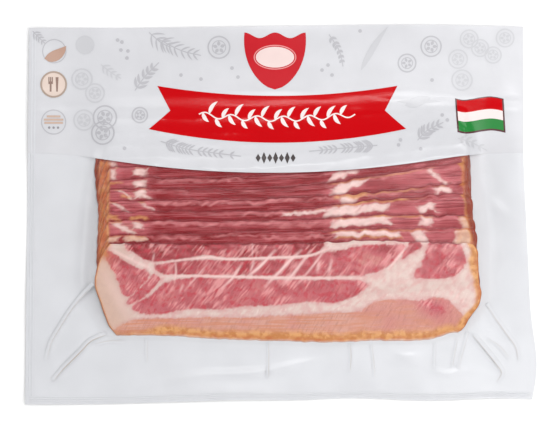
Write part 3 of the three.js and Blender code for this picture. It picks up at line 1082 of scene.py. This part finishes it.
def make_slice(index, material):
    """One slice: a slab with a round rim that lies on the slices below it, a little uneven, and
    more so along its upper edge."""
    sizes = settings()
    thickness, width = sizes["thickness"], sizes["width"]
    down, across = slice_grid(index, width)
    left, right = slice_ends(index, down)
    x = left + (right - left) * across
    top, foot = upper_edge(index, x), lower_edge(index, x, width)
    y = top + (foot - top) * down
    share = edge_share(nearest(x, y, left, right, top, foot), top - y, thickness)
    base = slice_base(index, x, y, thickness, width) + CLEARANCE
    relief = 0.07 * noise(x / 2.4, y / 1.6, 41 + index)
    relief = relief + 0.12 * noise(x / 2.6, index * 2.9, 47) * (1 - smooth(0.5, 3.0, top - y))
    points, faces = slab(x, y, base + (thickness - 0.06 + relief) * share, base)
    if index == 0:
        fields = front_fields(x, y, left, right, top, foot)
    else:
        fields = strip_fields(index, x, y, left, right)
    # Painted shadow of the header's edge on the slices just under it.
    header_shadow = 0.75 * (1 - smooth(0.2, 1.8, header_line(x) - y))
    fields["shade"] = np.maximum(fields["shade"], header_shadow)
    fields["behind"] = np.full(x.shape, float(index > 0))
    fields = {label: np.tile(np.ravel(values), 2) for label, values in fields.items()}
    piece(f"slice_{index + 1:02d}", points, faces[:, ::-1], material, "bacon", fields, sharp=55)


# ---------------------------------------------------------------- print

FIRST, SECOND = 0.10, 0.19      # levels of print over the film
PRINT_THICKNESS = 0.03
HAIR, STAGGER = 0.0015, 24      # how much higher each patch of a piece is than the one before, and
                                # after how many it starts again
# The inks that have colours of their own, and the gloss of those that aren't like the header.
INKS = {"white": (240, 226, 224), "crimson": (196, 26, 38), "rose": (232, 150, 150),
        "blush": (238, 214, 210), "outline": (84, 40, 44), "umber": (140, 112, 100),
        "tan": (204, 176, 160), "slate": (150, 146, 150), "copper": (188, 152, 134)}
INK_GLOSS = {"red": (0.13, 0.13), "white": (0.3, 0.3), "crimson": (0.25, 0.2)}
HEADER_GLOSS = (0.25, 0.5)      # roughness and shine


def ink(name):
    """The material of a printed colour, made once."""
    label = f"print_{name}"
    if label in bpy.data.materials:
        return bpy.data.materials[label]
    colours = bpy.context.scene.print_colours
    tint = linear(*INKS[name]) if name in INKS else tuple(getattr(colours, name))
    roughness, shine = INK_GLOSS.get(name, HEADER_GLOSS)
    return plastic_material(label, tint, roughness, 0.04, shine)


def on_film(x, y, level, ring=False):
    """A patch of print: a thin slab that follows the film, level millimetres over it. A ring's
    columns close on themselves, and its outer row comes first."""
    height = film_top(x, y) + level
    return slab(x, y, height + PRINT_THICKNESS, height, ring)


def sides(path):
    """Unit vectors to the left of a path."""
    ahead = np.gradient(path, axis=0)
    ahead /= np.linalg.norm(ahead, axis=1, keepdims=True)
    return np.stack([-ahead[:, 1], ahead[:, 0]], axis=1)


def stroke(path, half_widths, level):
    """A stroke of print: the path widened to both sides by its half widths."""
    path = np.asarray(path, float)
    sideways = sides(path)
    spread = np.linspace(1, -1, 3)[:, None]
    half_widths = np.maximum(np.broadcast_to(half_widths, len(path)), 0.02)
    x = path[:, 0] + spread * sideways[:, 0] * half_widths
    y = path[:, 1] + spread * sideways[:, 1] * half_widths
    return on_film(x[::-1], y[::-1], level)


def leaf(base, tip, width, level, bow=0.0):
    """A leaf from its base to its tip, bowed to one side."""
    base, tip = np.asarray(base, float), np.asarray(tip, float)
    t = np.linspace(0.0, 1, 9)[:, None]
    side = np.array([-(tip - base)[1], (tip - base)[0]])
    path = base + t * (tip - base) + side * bow * 4 * t * (1 - t)
    return stroke(path, width / 2 * np.sin(np.pi * t[:, 0] ** 0.8) ** 0.8, level)


def disc(centre, half_wide, half_tall, level, cells=14):
    """A round or oval patch: a square grid bowed out so that its four sides lie on the rim."""
    u, v = np.meshgrid(np.linspace(-1, 1, cells + 1), np.linspace(-1, 1, cells + 1))
    x = centre[0] + half_wide * u * np.sqrt(1 - v ** 2 / 2)
    y = centre[1] + half_tall * v * np.sqrt(1 - u ** 2 / 2)
    return on_film(x, y, level)


def ring(centre, half_wide, half_tall, width, level, steps=48):
    """A round or oval line."""
    angle = np.linspace(0, 2 * math.pi, steps + 1)[:-1]
    reach = np.linspace(0.5, -0.5, 3)[:, None] * width
    return on_film(centre[0] + (half_wide + reach) * np.cos(angle),
                   centre[1] + (half_tall + reach) * np.sin(angle), level, ring=True)


def print_piece(name, patches, colour_name):
    """All the patches of one colour as one piece, each a hair higher than the one before, so that
    no two faces lie in one another."""
    for order, (points, _) in enumerate(patches):
        points[:, 2] += HAIR * (order % STAGGER)
    piece(name, *joined(patches), ink(colour_name), "colour_print", sharp=50)


# ---------------------------------------------------------------- pleats

# Sharp pleats in the film: the points they run through, their height, how wide their gentle and
# their steep side are, and how much painted shade darkens the steep side. The steep side is the
# one on the left when going along the pleat.
PLEATS = (
    (((-93.5, -34.5), (-100, -41.2), (-106, -49), (-111, -57), (-115, -64), (-117.5, -73)),
     0.3, 1.3, 0.7, 0.35),
    (((-87.5, -59.7), (-95, -63), (-100, -68), (-105, -73), (-109, -77), (-114, -83)),
     0.36, 1.4, 0.7, 0.8),
    (((119, -73), (117.5, -66), (112.5, -58.8), (107, -51), (103, -44.5)), 0.05, 1.2, 0.8, 0.3),
    (((108, -84), (110.5, -79), (107, -73.5), (101, -66), (96, -60)), 0.1, 1.4, 0.7, 0.4),
    (((93.5, -59), (91, -67), (88.5, -77)), 0.12, 1.2, 0.7, 0.2),
    (((88, -62), (86.5, -70), (85.5, -76)), 0.1, 1.0, 0.5, 0.3),
    (((34.3, -64.5), (34.8, -71), (34.2, -79)), 0.14, 1.1, 0.45, 0.5),
    (((45.2, -65), (46.2, -74), (46.6, -81)), 0.12, 1.0, 0.45, 0.35),
    (((77, -64), (76.6, -71), (76.4, -77)), 0.1, 1.0, 0.6, 0.1),
    (((-6.5, -64), (-6.3, -72), (-6.6, -82)), 0.12, 0.9, 0.4, 0.5),
    (((-67, -62), (-67.2, -68), (-67, -74)), 0.1, 0.9, 0.4, 0.3),
    (((103, -62), (109, -66), (114, -72)), 0.08, 1.2, 0.7, 0.2),
    (((-93, -65), (-86, -63.5), (-78, -63.6)), 0.08, 1.0, 0.6, 0.3),
)


def pleat(points, height, gentle, steep, dark):
    """A sharp pleat: a lopsided ridge carried along a smooth curve. Its profile rises with a power
    of the way in from each side, and it flattens out towards both ends."""
    path = open_curve(points, 12)
    sideways = sides(path)
    across = np.concatenate([np.linspace(-1, 0, 7), np.linspace(0, 1, 5)[1:]])[:, None]
    offset = np.where(across < 0, across * gentle, across * steep)
    x, y = path[:, 0] + offset * sideways[:, 0], path[:, 1] + offset * sideways[:, 1]
    t = np.linspace(0, 1, len(path))
    ends = np.clip(np.sin(np.pi * t), 0, 1) ** 0.5
    rise = height * ends * (1 - np.abs(across)) ** 1.5
    low = film_top(x, y) + 0.02
    # Painted shade on the steep side.
    tint = dark * ends * smooth(0.0, 0.3, across) * (1 - smooth(0.7, 1, across))
    points, faces = slab(x[::-1], y[::-1], low[::-1] + rise[::-1] + 0.02, low[::-1])
    return points, faces, np.tile(np.ravel(tint[::-1]), 2)


def seal_ribs():
    """The fine ribs of the seal: low ridges that run along the foot and the left side."""
    foot = spaced(-HALF_WIDTH + 2, HALF_WIDTH - 2, 2.0)
    side = spaced(-HALF_HEIGHT + 4, HALF_HEIGHT - 2, 2.0)
    ribs = [np.stack([foot, np.full(foot.shape, inset - HALF_HEIGHT)], axis=1)
            for inset in (1.6, 2.6, 3.6)]
    ribs += [np.stack([np.full(side.shape, inset - HALF_WIDTH), side], axis=1)[::-1]
             for inset in (1.8, 3.4)]
    offset = np.linspace(-0.4, 0.4, 5)[:, None]
    made = []
    for path in ribs:
        sideways = sides(path)
        x, y = path[:, 0] + offset * sideways[:, 0], path[:, 1] + offset * sideways[:, 1]
        low = film_height(x, y) + bpy.context.scene.pack_sizes.film / MM + 0.01
        rise = 0.07 * np.cos(np.pi * offset / 0.8) ** 2 + 0.015
        x, y = place(x, y)
        made.append((*slab(x[::-1], y[::-1], (low + rise)[::-1], low[::-1]), np.zeros(x.size * 2)))
    return made


# ---------------------------------------------------------------- operators


class BACONPACK_OT_web(Operator):
    """Make the white backing web"""

    bl_idname = "baconpack.web"
    bl_label = "Backing web"

    def execute(self, context):
        sizes = settings()
        columns = runs((-HALF_WIDTH, -96, 1.1), (-96, -84, 0.5), (-84, 90, 2.5), (90, 102, 0.5),
                       (102, HALF_WIDTH, 1.1))
        rows = runs((-HALF_HEIGHT, -66, 1.1), (-66, -56, 0.5), (-56, HALF_HEIGHT, 1.2))
        x, y = np.meshgrid(columns, rows)
        true_x, true_y = place(x, y)
        top = web_top(x, y, sizes["lift"], sizes["web"])
        outside = -np.max([rim_distance(index, true_x, true_y, sizes["width"])
                           for index in range(SLICE_COUNT)], axis=0)
        drawn_up = np.maximum(film_height(x, y) - 0.3 - top, 0)
        share = 0.45 - 0.33 * smooth(60, 95, x)
        top = top + share * drawn_up * smooth(-1.4, 0.2, outside)
        points, faces = slab(true_x, true_y, top, underside(x, y, sizes["lift"]))
        material = plastic_material("white_web", tuple(context.scene.print_colours.web))
        piece("backing_web", points, faces, material, "white_web", sharp=60)
        return {"FINISHED"}


class BACONPACK_OT_slices(Operator):
    """Make the shingled slices"""

    bl_idname = "baconpack.slices"
    bl_label = "Slices"

    def execute(self, context):
        material = bacon_material(context.scene.bacon_sizes)
        for index in range(SLICE_COUNT):
            make_slice(index, material)
        return {"FINISHED"}


class BACONPACK_OT_pleats(Operator):
    """Make the sharp pleats of the film and the ribs of its seal"""

    bl_idname = "baconpack.pleats"
    bl_label = "Pleats and seal"

    def execute(self, context):
        tint = tuple(0.97 * channel for channel in context.scene.print_colours.web)
        material, tree, shader = new_material("film_pleats", 0.35, Specular_IOR_Level=0.25)
        # The dark field paints shade on the pleats' steep sides.
        base = blend(tree, field(tree, "dark"), tint, linear(180, 164, 150))
        tree.links.new(base, shader.inputs["Base Color"])
        made = [pleat(*values) for values in PLEATS] + seal_ribs()
        points, faces = joined([ridge[:2] for ridge in made])
        dark = np.concatenate([ridge[2] for ridge in made])
        piece("film_pleats", points, faces, material, "white_web", dict(dark=dark), sharp=75)
        return {"FINISHED"}


WINDOW_TOP = 21.2       # Y where the rows of the clear film end, before they are stretched to meet
                        # the header print


def film_patch(x, y):
    """A part of the film over points of the full rectangle."""
    height = film_height(x, y)
    return slab(*place(x, y), height + bpy.context.scene.pack_sizes.film / MM, height)


class BACONPACK_OT_film(Operator):
    """Make the clear film and the white header film"""

    bl_idname = "baconpack.film"
    bl_label = "Film"

    def execute(self, context):
        rows = np.concatenate([spaced(-HALF_HEIGHT, -62, 1.0), spaced(-61, -16, 1.25)[:-1],
                               spaced(-16, WINDOW_TOP, 0.42)])
        share = (rows + HALF_HEIGHT) / (WINDOW_TOP + HALF_HEIGHT)
        x, share = np.meshgrid(spaced(-HALF_WIDTH, HALF_WIDTH, 1.0), share)
        y = -HALF_HEIGHT + (header_line(x) + HALF_HEIGHT) * share
        piece("clear_film", *film_patch(x, y), clear_film_material(), "clear_film", sharp=60)
        x, share = np.meshgrid(spaced(-HALF_WIDTH, HALF_WIDTH, 0.75), np.linspace(0, 1, 120))
        y = header_line(x) + (HALF_HEIGHT - header_line(x)) * share
        white = plastic_material("header_white", tuple(context.scene.print_colours.header), 0.25)
        piece("header_film", *film_patch(x, y), white, "white_print", sharp=60)
        return {"FINISHED"}


RIBBON_MIDDLE = -2.0        # X of the ribbon's middle
RIBBON_EDGES = ((59.3, 5.0), (35.8, 6.0))   # Y of each edge there, and its rise 60 mm further out
VINE = (-41, 37)            # X of the vine's two ends
BADGE_X, BADGE_TOP = -3.0, 89.5
OVAL = (BADGE_X, 78.6)      # the middle of the badge's blank oval


def ribbon_edges(x):
    """Y of the ribbon's upper and lower edges: two shallow hollow curves."""
    t = (x - RIBBON_MIDDLE) / 60
    return [middle + rise * t ** 2 for middle, rise in RIBBON_EDGES]


def ribbon_patch():
    """The ribbon: its sides slope out to the foot, with a notch cut into each end."""
    down, across = np.meshgrid(np.linspace(0, 1, 33), np.linspace(0, 1, 190), indexing="ij")
    notch = 1 - np.abs(2 * down - 1)
    left = -61.8 - 4.2 * down + 8.6 * notch
    right = 58.2 + 4.2 * down - 8.4 * notch
    x = left + (right - left) * across
    upper, lower = ribbon_edges(x)
    y = upper + (lower - upper) * down
    return on_film(x[::-1], y[::-1], FIRST)


def vine_patches():
    """A wavy stem along the ribbon's middle, with leaves to both sides in turn."""
    start, end = VINE
    x = np.linspace(start, end, 120)
    upper, lower = ribbon_edges(x)
    y = upper * 0.51 + lower * 0.49 + 1.3 * np.sin((x - start) / (end - start) * 12 * math.pi)
    patches = [stroke(np.stack([x, y], axis=1), 0.34, SECOND)]
    for order in range(22):
        base = np.array([x[3 + order * 5], y[3 + order * 5]])
        side = 1 if order % 2 else -1
        long = 6.6 - 1.0 * (side < 0) + 0.8 * math.sin(order * 1.7)
        tip = base + long * np.array([0.55, side * 0.84])
        patches.append(leaf(base, tip, 2.0, SECOND, 0.13 * side))
    return patches


def badge_patch():
    """A shield: its half width shrinks with a power of the way down, and its top edge is waved."""
    t, u = np.meshgrid(np.linspace(0, 1, 25), np.linspace(-1, 1, 31), indexing="ij")
    half = 16.0 * (1 - t ** 2.1) ** 0.62 * (1 - 0.05 * (1 - t) ** 4) + 0.05
    x = BADGE_X + half * u
    y = BADGE_TOP - 27 * t + 1.4 * (1 - t) ** 3 * np.cos(2 * math.pi * u)
    return on_film(x[::-1], y[::-1], FIRST)


class BACONPACK_OT_ribbon(Operator):
    """Make the header's ribbon with its vine, and the badge"""

    bl_idname = "baconpack.ribbon"
    bl_label = "Ribbon and badge"

    def execute(self, context):
        print_piece("ribbon", [ribbon_patch()], "red")
        print_piece("ribbon_vine", vine_patches(), "white")
        print_piece("badge", [badge_patch()], "crimson")
        print_piece("badge_rim", [ring(OVAL, 10.4, 5.9, 0.5, SECOND, 60)], "rose")
        print_piece("badge_field", [disc(OVAL, 9.6, 5.2, SECOND)], "blush")
        return {"FINISHED"}


FLAG_LEFT, FLAG_WIDTH = 87, 24.2
FLAG_KNOTS = (87, 91, 95, 100, 105, 108, 112)
FLAG_WAVE = (0.1, -0.7, -0.3, 0.6, 1.0, 0.6, -0.4)
# The flag's patches: the piece's colour, Y of the upper and the lower edge, how far in from the
# flag's ends, and the level of print.
FLAG = (("border", "outline", 58.0, 41.0, 0.0, FIRST), ("red", "red", 57.5, 51.7, 0.8, SECOND),
        ("white", "white", 51.7, 47.0, 0.8, SECOND), ("green", "green", 47.0, 41.9, 0.8, SECOND))


def flag_stripe(top, bottom, inset, level):
    """A stripe of the flag between two heights: both edges follow one wave, and the whole flag
    leans a little to the right towards its foot."""
    down = np.linspace(1, 0, 1 + int(2 * (top - bottom)))
    across, down = np.meshgrid(np.linspace(0, 1, 60), down)
    x = FLAG_LEFT + inset + (FLAG_WIDTH - 2 * inset) * across
    y = top + (bottom - top) * down + through(FLAG_KNOTS, FLAG_WAVE, x)
    return on_film(x + 0.055 * (58 - y), y, level)


def lozenge(order):
    """A lozenge of the row under the ribbon: every second one is tall."""
    x, tall = -2.7 + order * 2.9, 2.9 if order % 2 == 0 else 2.0
    path = open_curve(((x, 28.2 - tall), (x, 28.2 + tall)))
    return stroke(path, 1.25 * (1 - np.abs(np.linspace(-1, 1, len(path)))), FIRST)


PICTOGRAM_X = -113.6        # X of the column of three pictograms


class BACONPACK_OT_marks(Operator):
    """Make the small marks: pictograms, flag and the row of lozenges"""

    bl_idname = "baconpack.marks"
    bl_label = "Small marks"

    def execute(self, context):
        print_piece("lozenges", [lozenge(order) for order in range(-3, 4)], "dark")
        for name, colour_name, *stripe in FLAG:
            print_piece(f"flag_{name}", [flag_stripe(*stripe)], colour_name)

        x, fork = PICTOGRAM_X, PICTOGRAM_X - 1.5
        hoops = [ring((x, 46.2), 6.0, 6.0, 0.5, FIRST), ring((x + 0.3, 81.6), 5.8, 5.8, 0.4, FIRST)]
        marks = [(((x + 1.7, 61.4), (x + 1.7, 64.9), (x + 1.7, 68.6)), (0.4, 0.5, 0.75)),
                 (((fork, 61.4), (fork, 65.2)), 0.45), (((fork, 65.2), (fork, 66.5)), 1.1)]
        marks += [(((fork + side, 66.5), (fork + side, 68.7)), 0.26) for side in (-0.84, 0, 0.84)]
        bars = [(((x - half, level), (x + half, level)), 0.5)
                for half, level in ((3.4, 49.0), (4.8, 47.4), (4.6, 45.8))]
        pieces = {
            "rings": ([ring((x, 65.0), 6.2, 6.2, 0.9, SECOND)], "brown"),
            "fields": ([disc((x, 65.0), 5.9, 5.9, FIRST)], "cream"),
            "hoops": (hoops, "grey"),
            "marks": ([stroke(path, half, SECOND) for path, half in marks], "umber"),
            "bars": ([stroke(path, half, SECOND) for path, half in bars], "tan"),
            "dots": ([disc((x + side, 43.4), 0.6, 0.6, SECOND, 6) for side in (-2.2, 0, 2.2)], "slate"),
            "leaf": ([leaf((x - 4.6, 77.9), (x + 6.2, 84.2), 5.4, SECOND, -0.12)], "copper"),
        }
        for name, (patches, colour_name) in pieces.items():
            print_piece(f"pictogram_{name}", patches, colour_name)
        return {"FINISHED"}


# The pale drawings, in grey and in faint ink. Sprigs: the points of the stem, pairs of leaves, and
# their length and width. Fruits: X, Y and radius. Discs: X, Y, radius and cells. Leaves: base, tip,
# width and bow.
GREY_SPRIGS = (
    (((-66, 91), (-60, 86), (-55, 83.5)), 4, 7, 0.8),
    (((-62, 88), (-50, 82), (-40, 79.5)), 6, 6.5, 0.8),
    (((-124, 91.5), (-121, 88.5), (-118, 85.5)), 4, 3.6, 0.8),
    (((-73, 62), (-68, 69), (-61, 76)), 5, 5.5, 1.4),
    (((-60, 36.5), (-46, 32.5), (-20, 29)), 14, 5, 0.9),
    (((48, 34.5), (36, 33.5), (14, 31.5)), 13, 5, 0.9),
    (((68, 37), (73, 42), (81, 46)), 6, 5.5, 1.2),
    (((24, 90), (29, 82), (31, 74)), 6, 3, 1.3),
)
GREY_FRUITS = ((-31, 83.5, 5.4), (-88, 48.5, 5.8), (-89, 40.7, 5.6), (-70.5, 49.7, 3.8),
               (75, 84, 5.0), (63, 75.7, 4.4))
PEPPERCORNS = ((-81.7, 87.2), (-79.5, 86.2), (-80, 82.2), (-76.5, 81.7), (-77, 78.2), (-24.5, 73.2),
               (-21.5, 68.7), (-40, 67.7), (-50, 69.7), (39.5, 91.7), (20.5, 72.2), (25.5, 69.7),
               (23.5, 74.7), (75.5, 67.2), (58.5, 34.7), (59.5, 37.2), (69.5, 32.7), (80.5, 49.7),
               (83, 47.2), (-78, 33))
FAINT_SPRIGS = ((((-90, 75), (-85, 71), (-80, 68)), 4, 4, 0.9),
                (((88, 38), (95, 36), (103, 32)), 4, 4.5, 1.2))
FAINT_FRUITS = ((-99.5, 67.7, 5.0), (-93, 60.7, 4.6), (-98.5, 47.2, 5.0), (94, 87.7, 4.4),
                (112, 88.2, 4.4), (88.5, 77.7, 4.6), (90.5, 67.2, 5.0), (99.5, 83.2, 4.2),
                (106, 79.7, 4.0))
FAINT_LEAVES = (((40, 72), (53.5, 94), 3.2, 0.03), ((62, 54.5), (75, 58.5), 5.0, 0.0),
                ((58, 56.5), (80, 56.5), 1.6, 0.0))


def sprig(points, leaves, long, width):
    """A sprig: a stem with pairs of leaves that lean towards its tip and shorten along it."""
    path = open_curve(points, 10)
    parts = [stroke(path, 0.22, FIRST)]
    for order in range(leaves):
        at = int((0.12 + 0.84 * order / leaves) * (len(path) - 1))
        ahead = path[min(at + 1, len(path) - 1)] - path[at - 1]
        ahead /= np.linalg.norm(ahead)
        size = long * (1 - 0.45 * order / leaves)
        for side in (-1, 1):
            out = ahead * 0.75 + side * 0.66 * np.array([-ahead[1], ahead[0]])
            parts.append(leaf(path[at], path[at] + size * out, width, FIRST, 0.06 * side))
    return parts


def fruit(x, y, radius):
    """A cut round vegetable: two rings and short spokes."""
    centre = np.array((x, y))
    parts = [ring(centre, radius, radius, 0.7, FIRST)]
    parts.append(ring(centre, radius * 0.62, radius * 0.62, 0.4, FIRST))
    for angle in 2 * math.pi * np.arange(5) / 5 + radius:
        way = radius * np.array([math.cos(angle), math.sin(angle)])
        parts.append(leaf(centre + way * 0.15, centre + way * 0.6, radius * 0.3, FIRST))
    return parts


class BACONPACK_OT_sketches(Operator):
    """Make the header's pale drawings of herbs, vegetables and peppercorns"""

    bl_idname = "baconpack.sketches"
    bl_label = "Pale drawings"

    def execute(self, context):
        for name, colour_name, sprigs, fruits, discs, leaves in (
            ("drawings", "grey", GREY_SPRIGS, GREY_FRUITS,
             [(place_at, 0.9, 6) for place_at in PEPPERCORNS], ()),
            ("faint_drawings", "faint", FAINT_SPRIGS, FAINT_FRUITS, [((-98, 84.8), 4.6, 14)],
             FAINT_LEAVES),
        ):
            patches = sum([sprig(*values) for values in sprigs], [])
            patches += sum([fruit(*values) for values in fruits], [])
            patches += [disc(centre, radius, radius, FIRST, cells) for centre, radius, cells in discs]
            patches += [leaf(base, tip, width, FIRST, bow) for base, tip, width, bow in leaves]
            print_piece(name, patches, colour_name)
        return {"FINISHED"}


# The lamps: each one's place, width and height in metres, and share of the key light.
LAMPS = {
    "back": ((0.35, 1.45, 0.68), 1.3, 0.5, 0.8),
    "right": ((0.4, -0.02, 0.66), 0.8, 0.7, 0.64),
    "left": ((-1.4, 0.1, 0.72), 1.2, 0.4, 0.92),
    "front": ((0.0, -1.35, 1.0), 1.5, 0.5, 0.5),
    "glint": ((0.07, 0.38, 1.4), 0.28, 0.14, 0.36),
}
FLOOR_HALF = 2.0            # half the floor's size, in metres
FLOOR_GAP = 0.0003          # how far the floor lies under the pack, in metres
VIEW_MIDDLE = (-4.25, 0.75)  # what the camera looks down on, in millimetres
SENSOR = 36                 # width of the camera's sensor


class BACONPACK_OT_stage(Operator):
    """Make the floor, the lights and the camera"""

    bl_idname = "baconpack.stage"
    bl_label = "Stage"

    def execute(self, context):
        scene, studio = context.scene, context.scene.studio_settings
        mesh = bpy.data.meshes.new("floor")
        corners = [(x * FLOOR_HALF, y * FLOOR_HALF, -FLOOR_GAP)
                   for x, y in ((-1, -1), (1, -1), (1, 1), (-1, 1))]
        mesh.from_pydata(corners, [], [(0, 1, 2, 3)])
        floor = bpy.data.objects.new("floor", mesh)
        material, _, shader = new_material("floor", 0.9, Specular_IOR_Level=0.0)
        shader.inputs["Base Color"].default_value = (*studio.floor, 1)
        mesh.materials.append(material)
        scene.collection.objects.link(floor)

        world = bpy.data.worlds.new("studio")
        world.use_nodes = True
        background = world.node_tree.nodes["Background"]
        background.inputs["Color"].default_value = (1, 1, 1, 1)
        background.inputs["Strength"].default_value = studio.fill
        scene.world = world

        for name, (spot, wide, tall, share) in LAMPS.items():
            lamp = bpy.data.lights.new(name, "AREA")
            lamp.shape, lamp.size, lamp.size_y = "RECTANGLE", wide, tall
            lamp.energy = studio.key * share
            holder = bpy.data.objects.new(name, lamp)
            holder.location = spot
            aim = -np.array(spot)
            holder.rotation_euler = (math.atan2(math.hypot(aim[0], aim[1]), -aim[2]), 0,
                                     math.atan2(aim[1], aim[0]) - math.pi / 2)
            scene.collection.objects.link(holder)

        lens = bpy.data.cameras.new("camera")
        lens.sensor_width = SENSOR
        lens.lens = SENSOR * studio.distance / studio.view
        lens.clip_end = 20
        camera = bpy.data.objects.new("camera", lens)
        camera.location = (VIEW_MIDDLE[0] * MM, VIEW_MIDDLE[1] * MM, studio.distance)
        scene.collection.objects.link(camera)
        scene.camera = camera
        scene.view_settings.view_transform = "Standard"
        return {"FINISHED"}


class BACONPACK_PT_panel(Panel):
    """Lists the pack's pieces and the stage"""

    bl_idname = "BACONPACK_PT_panel"
    bl_label = "Bacon Pack"
    bl_space_type = "VIEW_3D"
    bl_region_type = "UI"
    bl_category = "Bacon Pack"

    def draw(self, context):
        for step in STEPS:
            self.layout.operator(step.bl_idname)


STEPS = (BACONPACK_OT_web, BACONPACK_OT_slices, BACONPACK_OT_film, BACONPACK_OT_pleats,
         BACONPACK_OT_ribbon, BACONPACK_OT_marks, BACONPACK_OT_sketches, BACONPACK_OT_stage)
GROUPS = {"pack_sizes": PackSizes, "bacon_sizes": BaconSizes, "print_colours": PrintColours,
          "studio_settings": StudioSettings}
CLASSES = (*GROUPS.values(), *STEPS, BACONPACK_PT_panel)


def register():
    """Adds the settings, the operators and the panel."""
    for item in CLASSES:
        bpy.utils.register_class(item)
    for name, item in GROUPS.items():
        setattr(bpy.types.Scene, name, PointerProperty(type=item))


def unregister():
    """Takes them away again."""
    for name in GROUPS:
        delattr(bpy.types.Scene, name)
    for item in reversed(CLASSES):
        bpy.utils.unregister_class(item)


def main():
    """Makes the pack and the stage."""
    register()
    for step in STEPS:
        family, name = step.bl_idname.split(".")
        getattr(getattr(bpy.ops, family), name)()


if __name__ == "__main__":
    main()
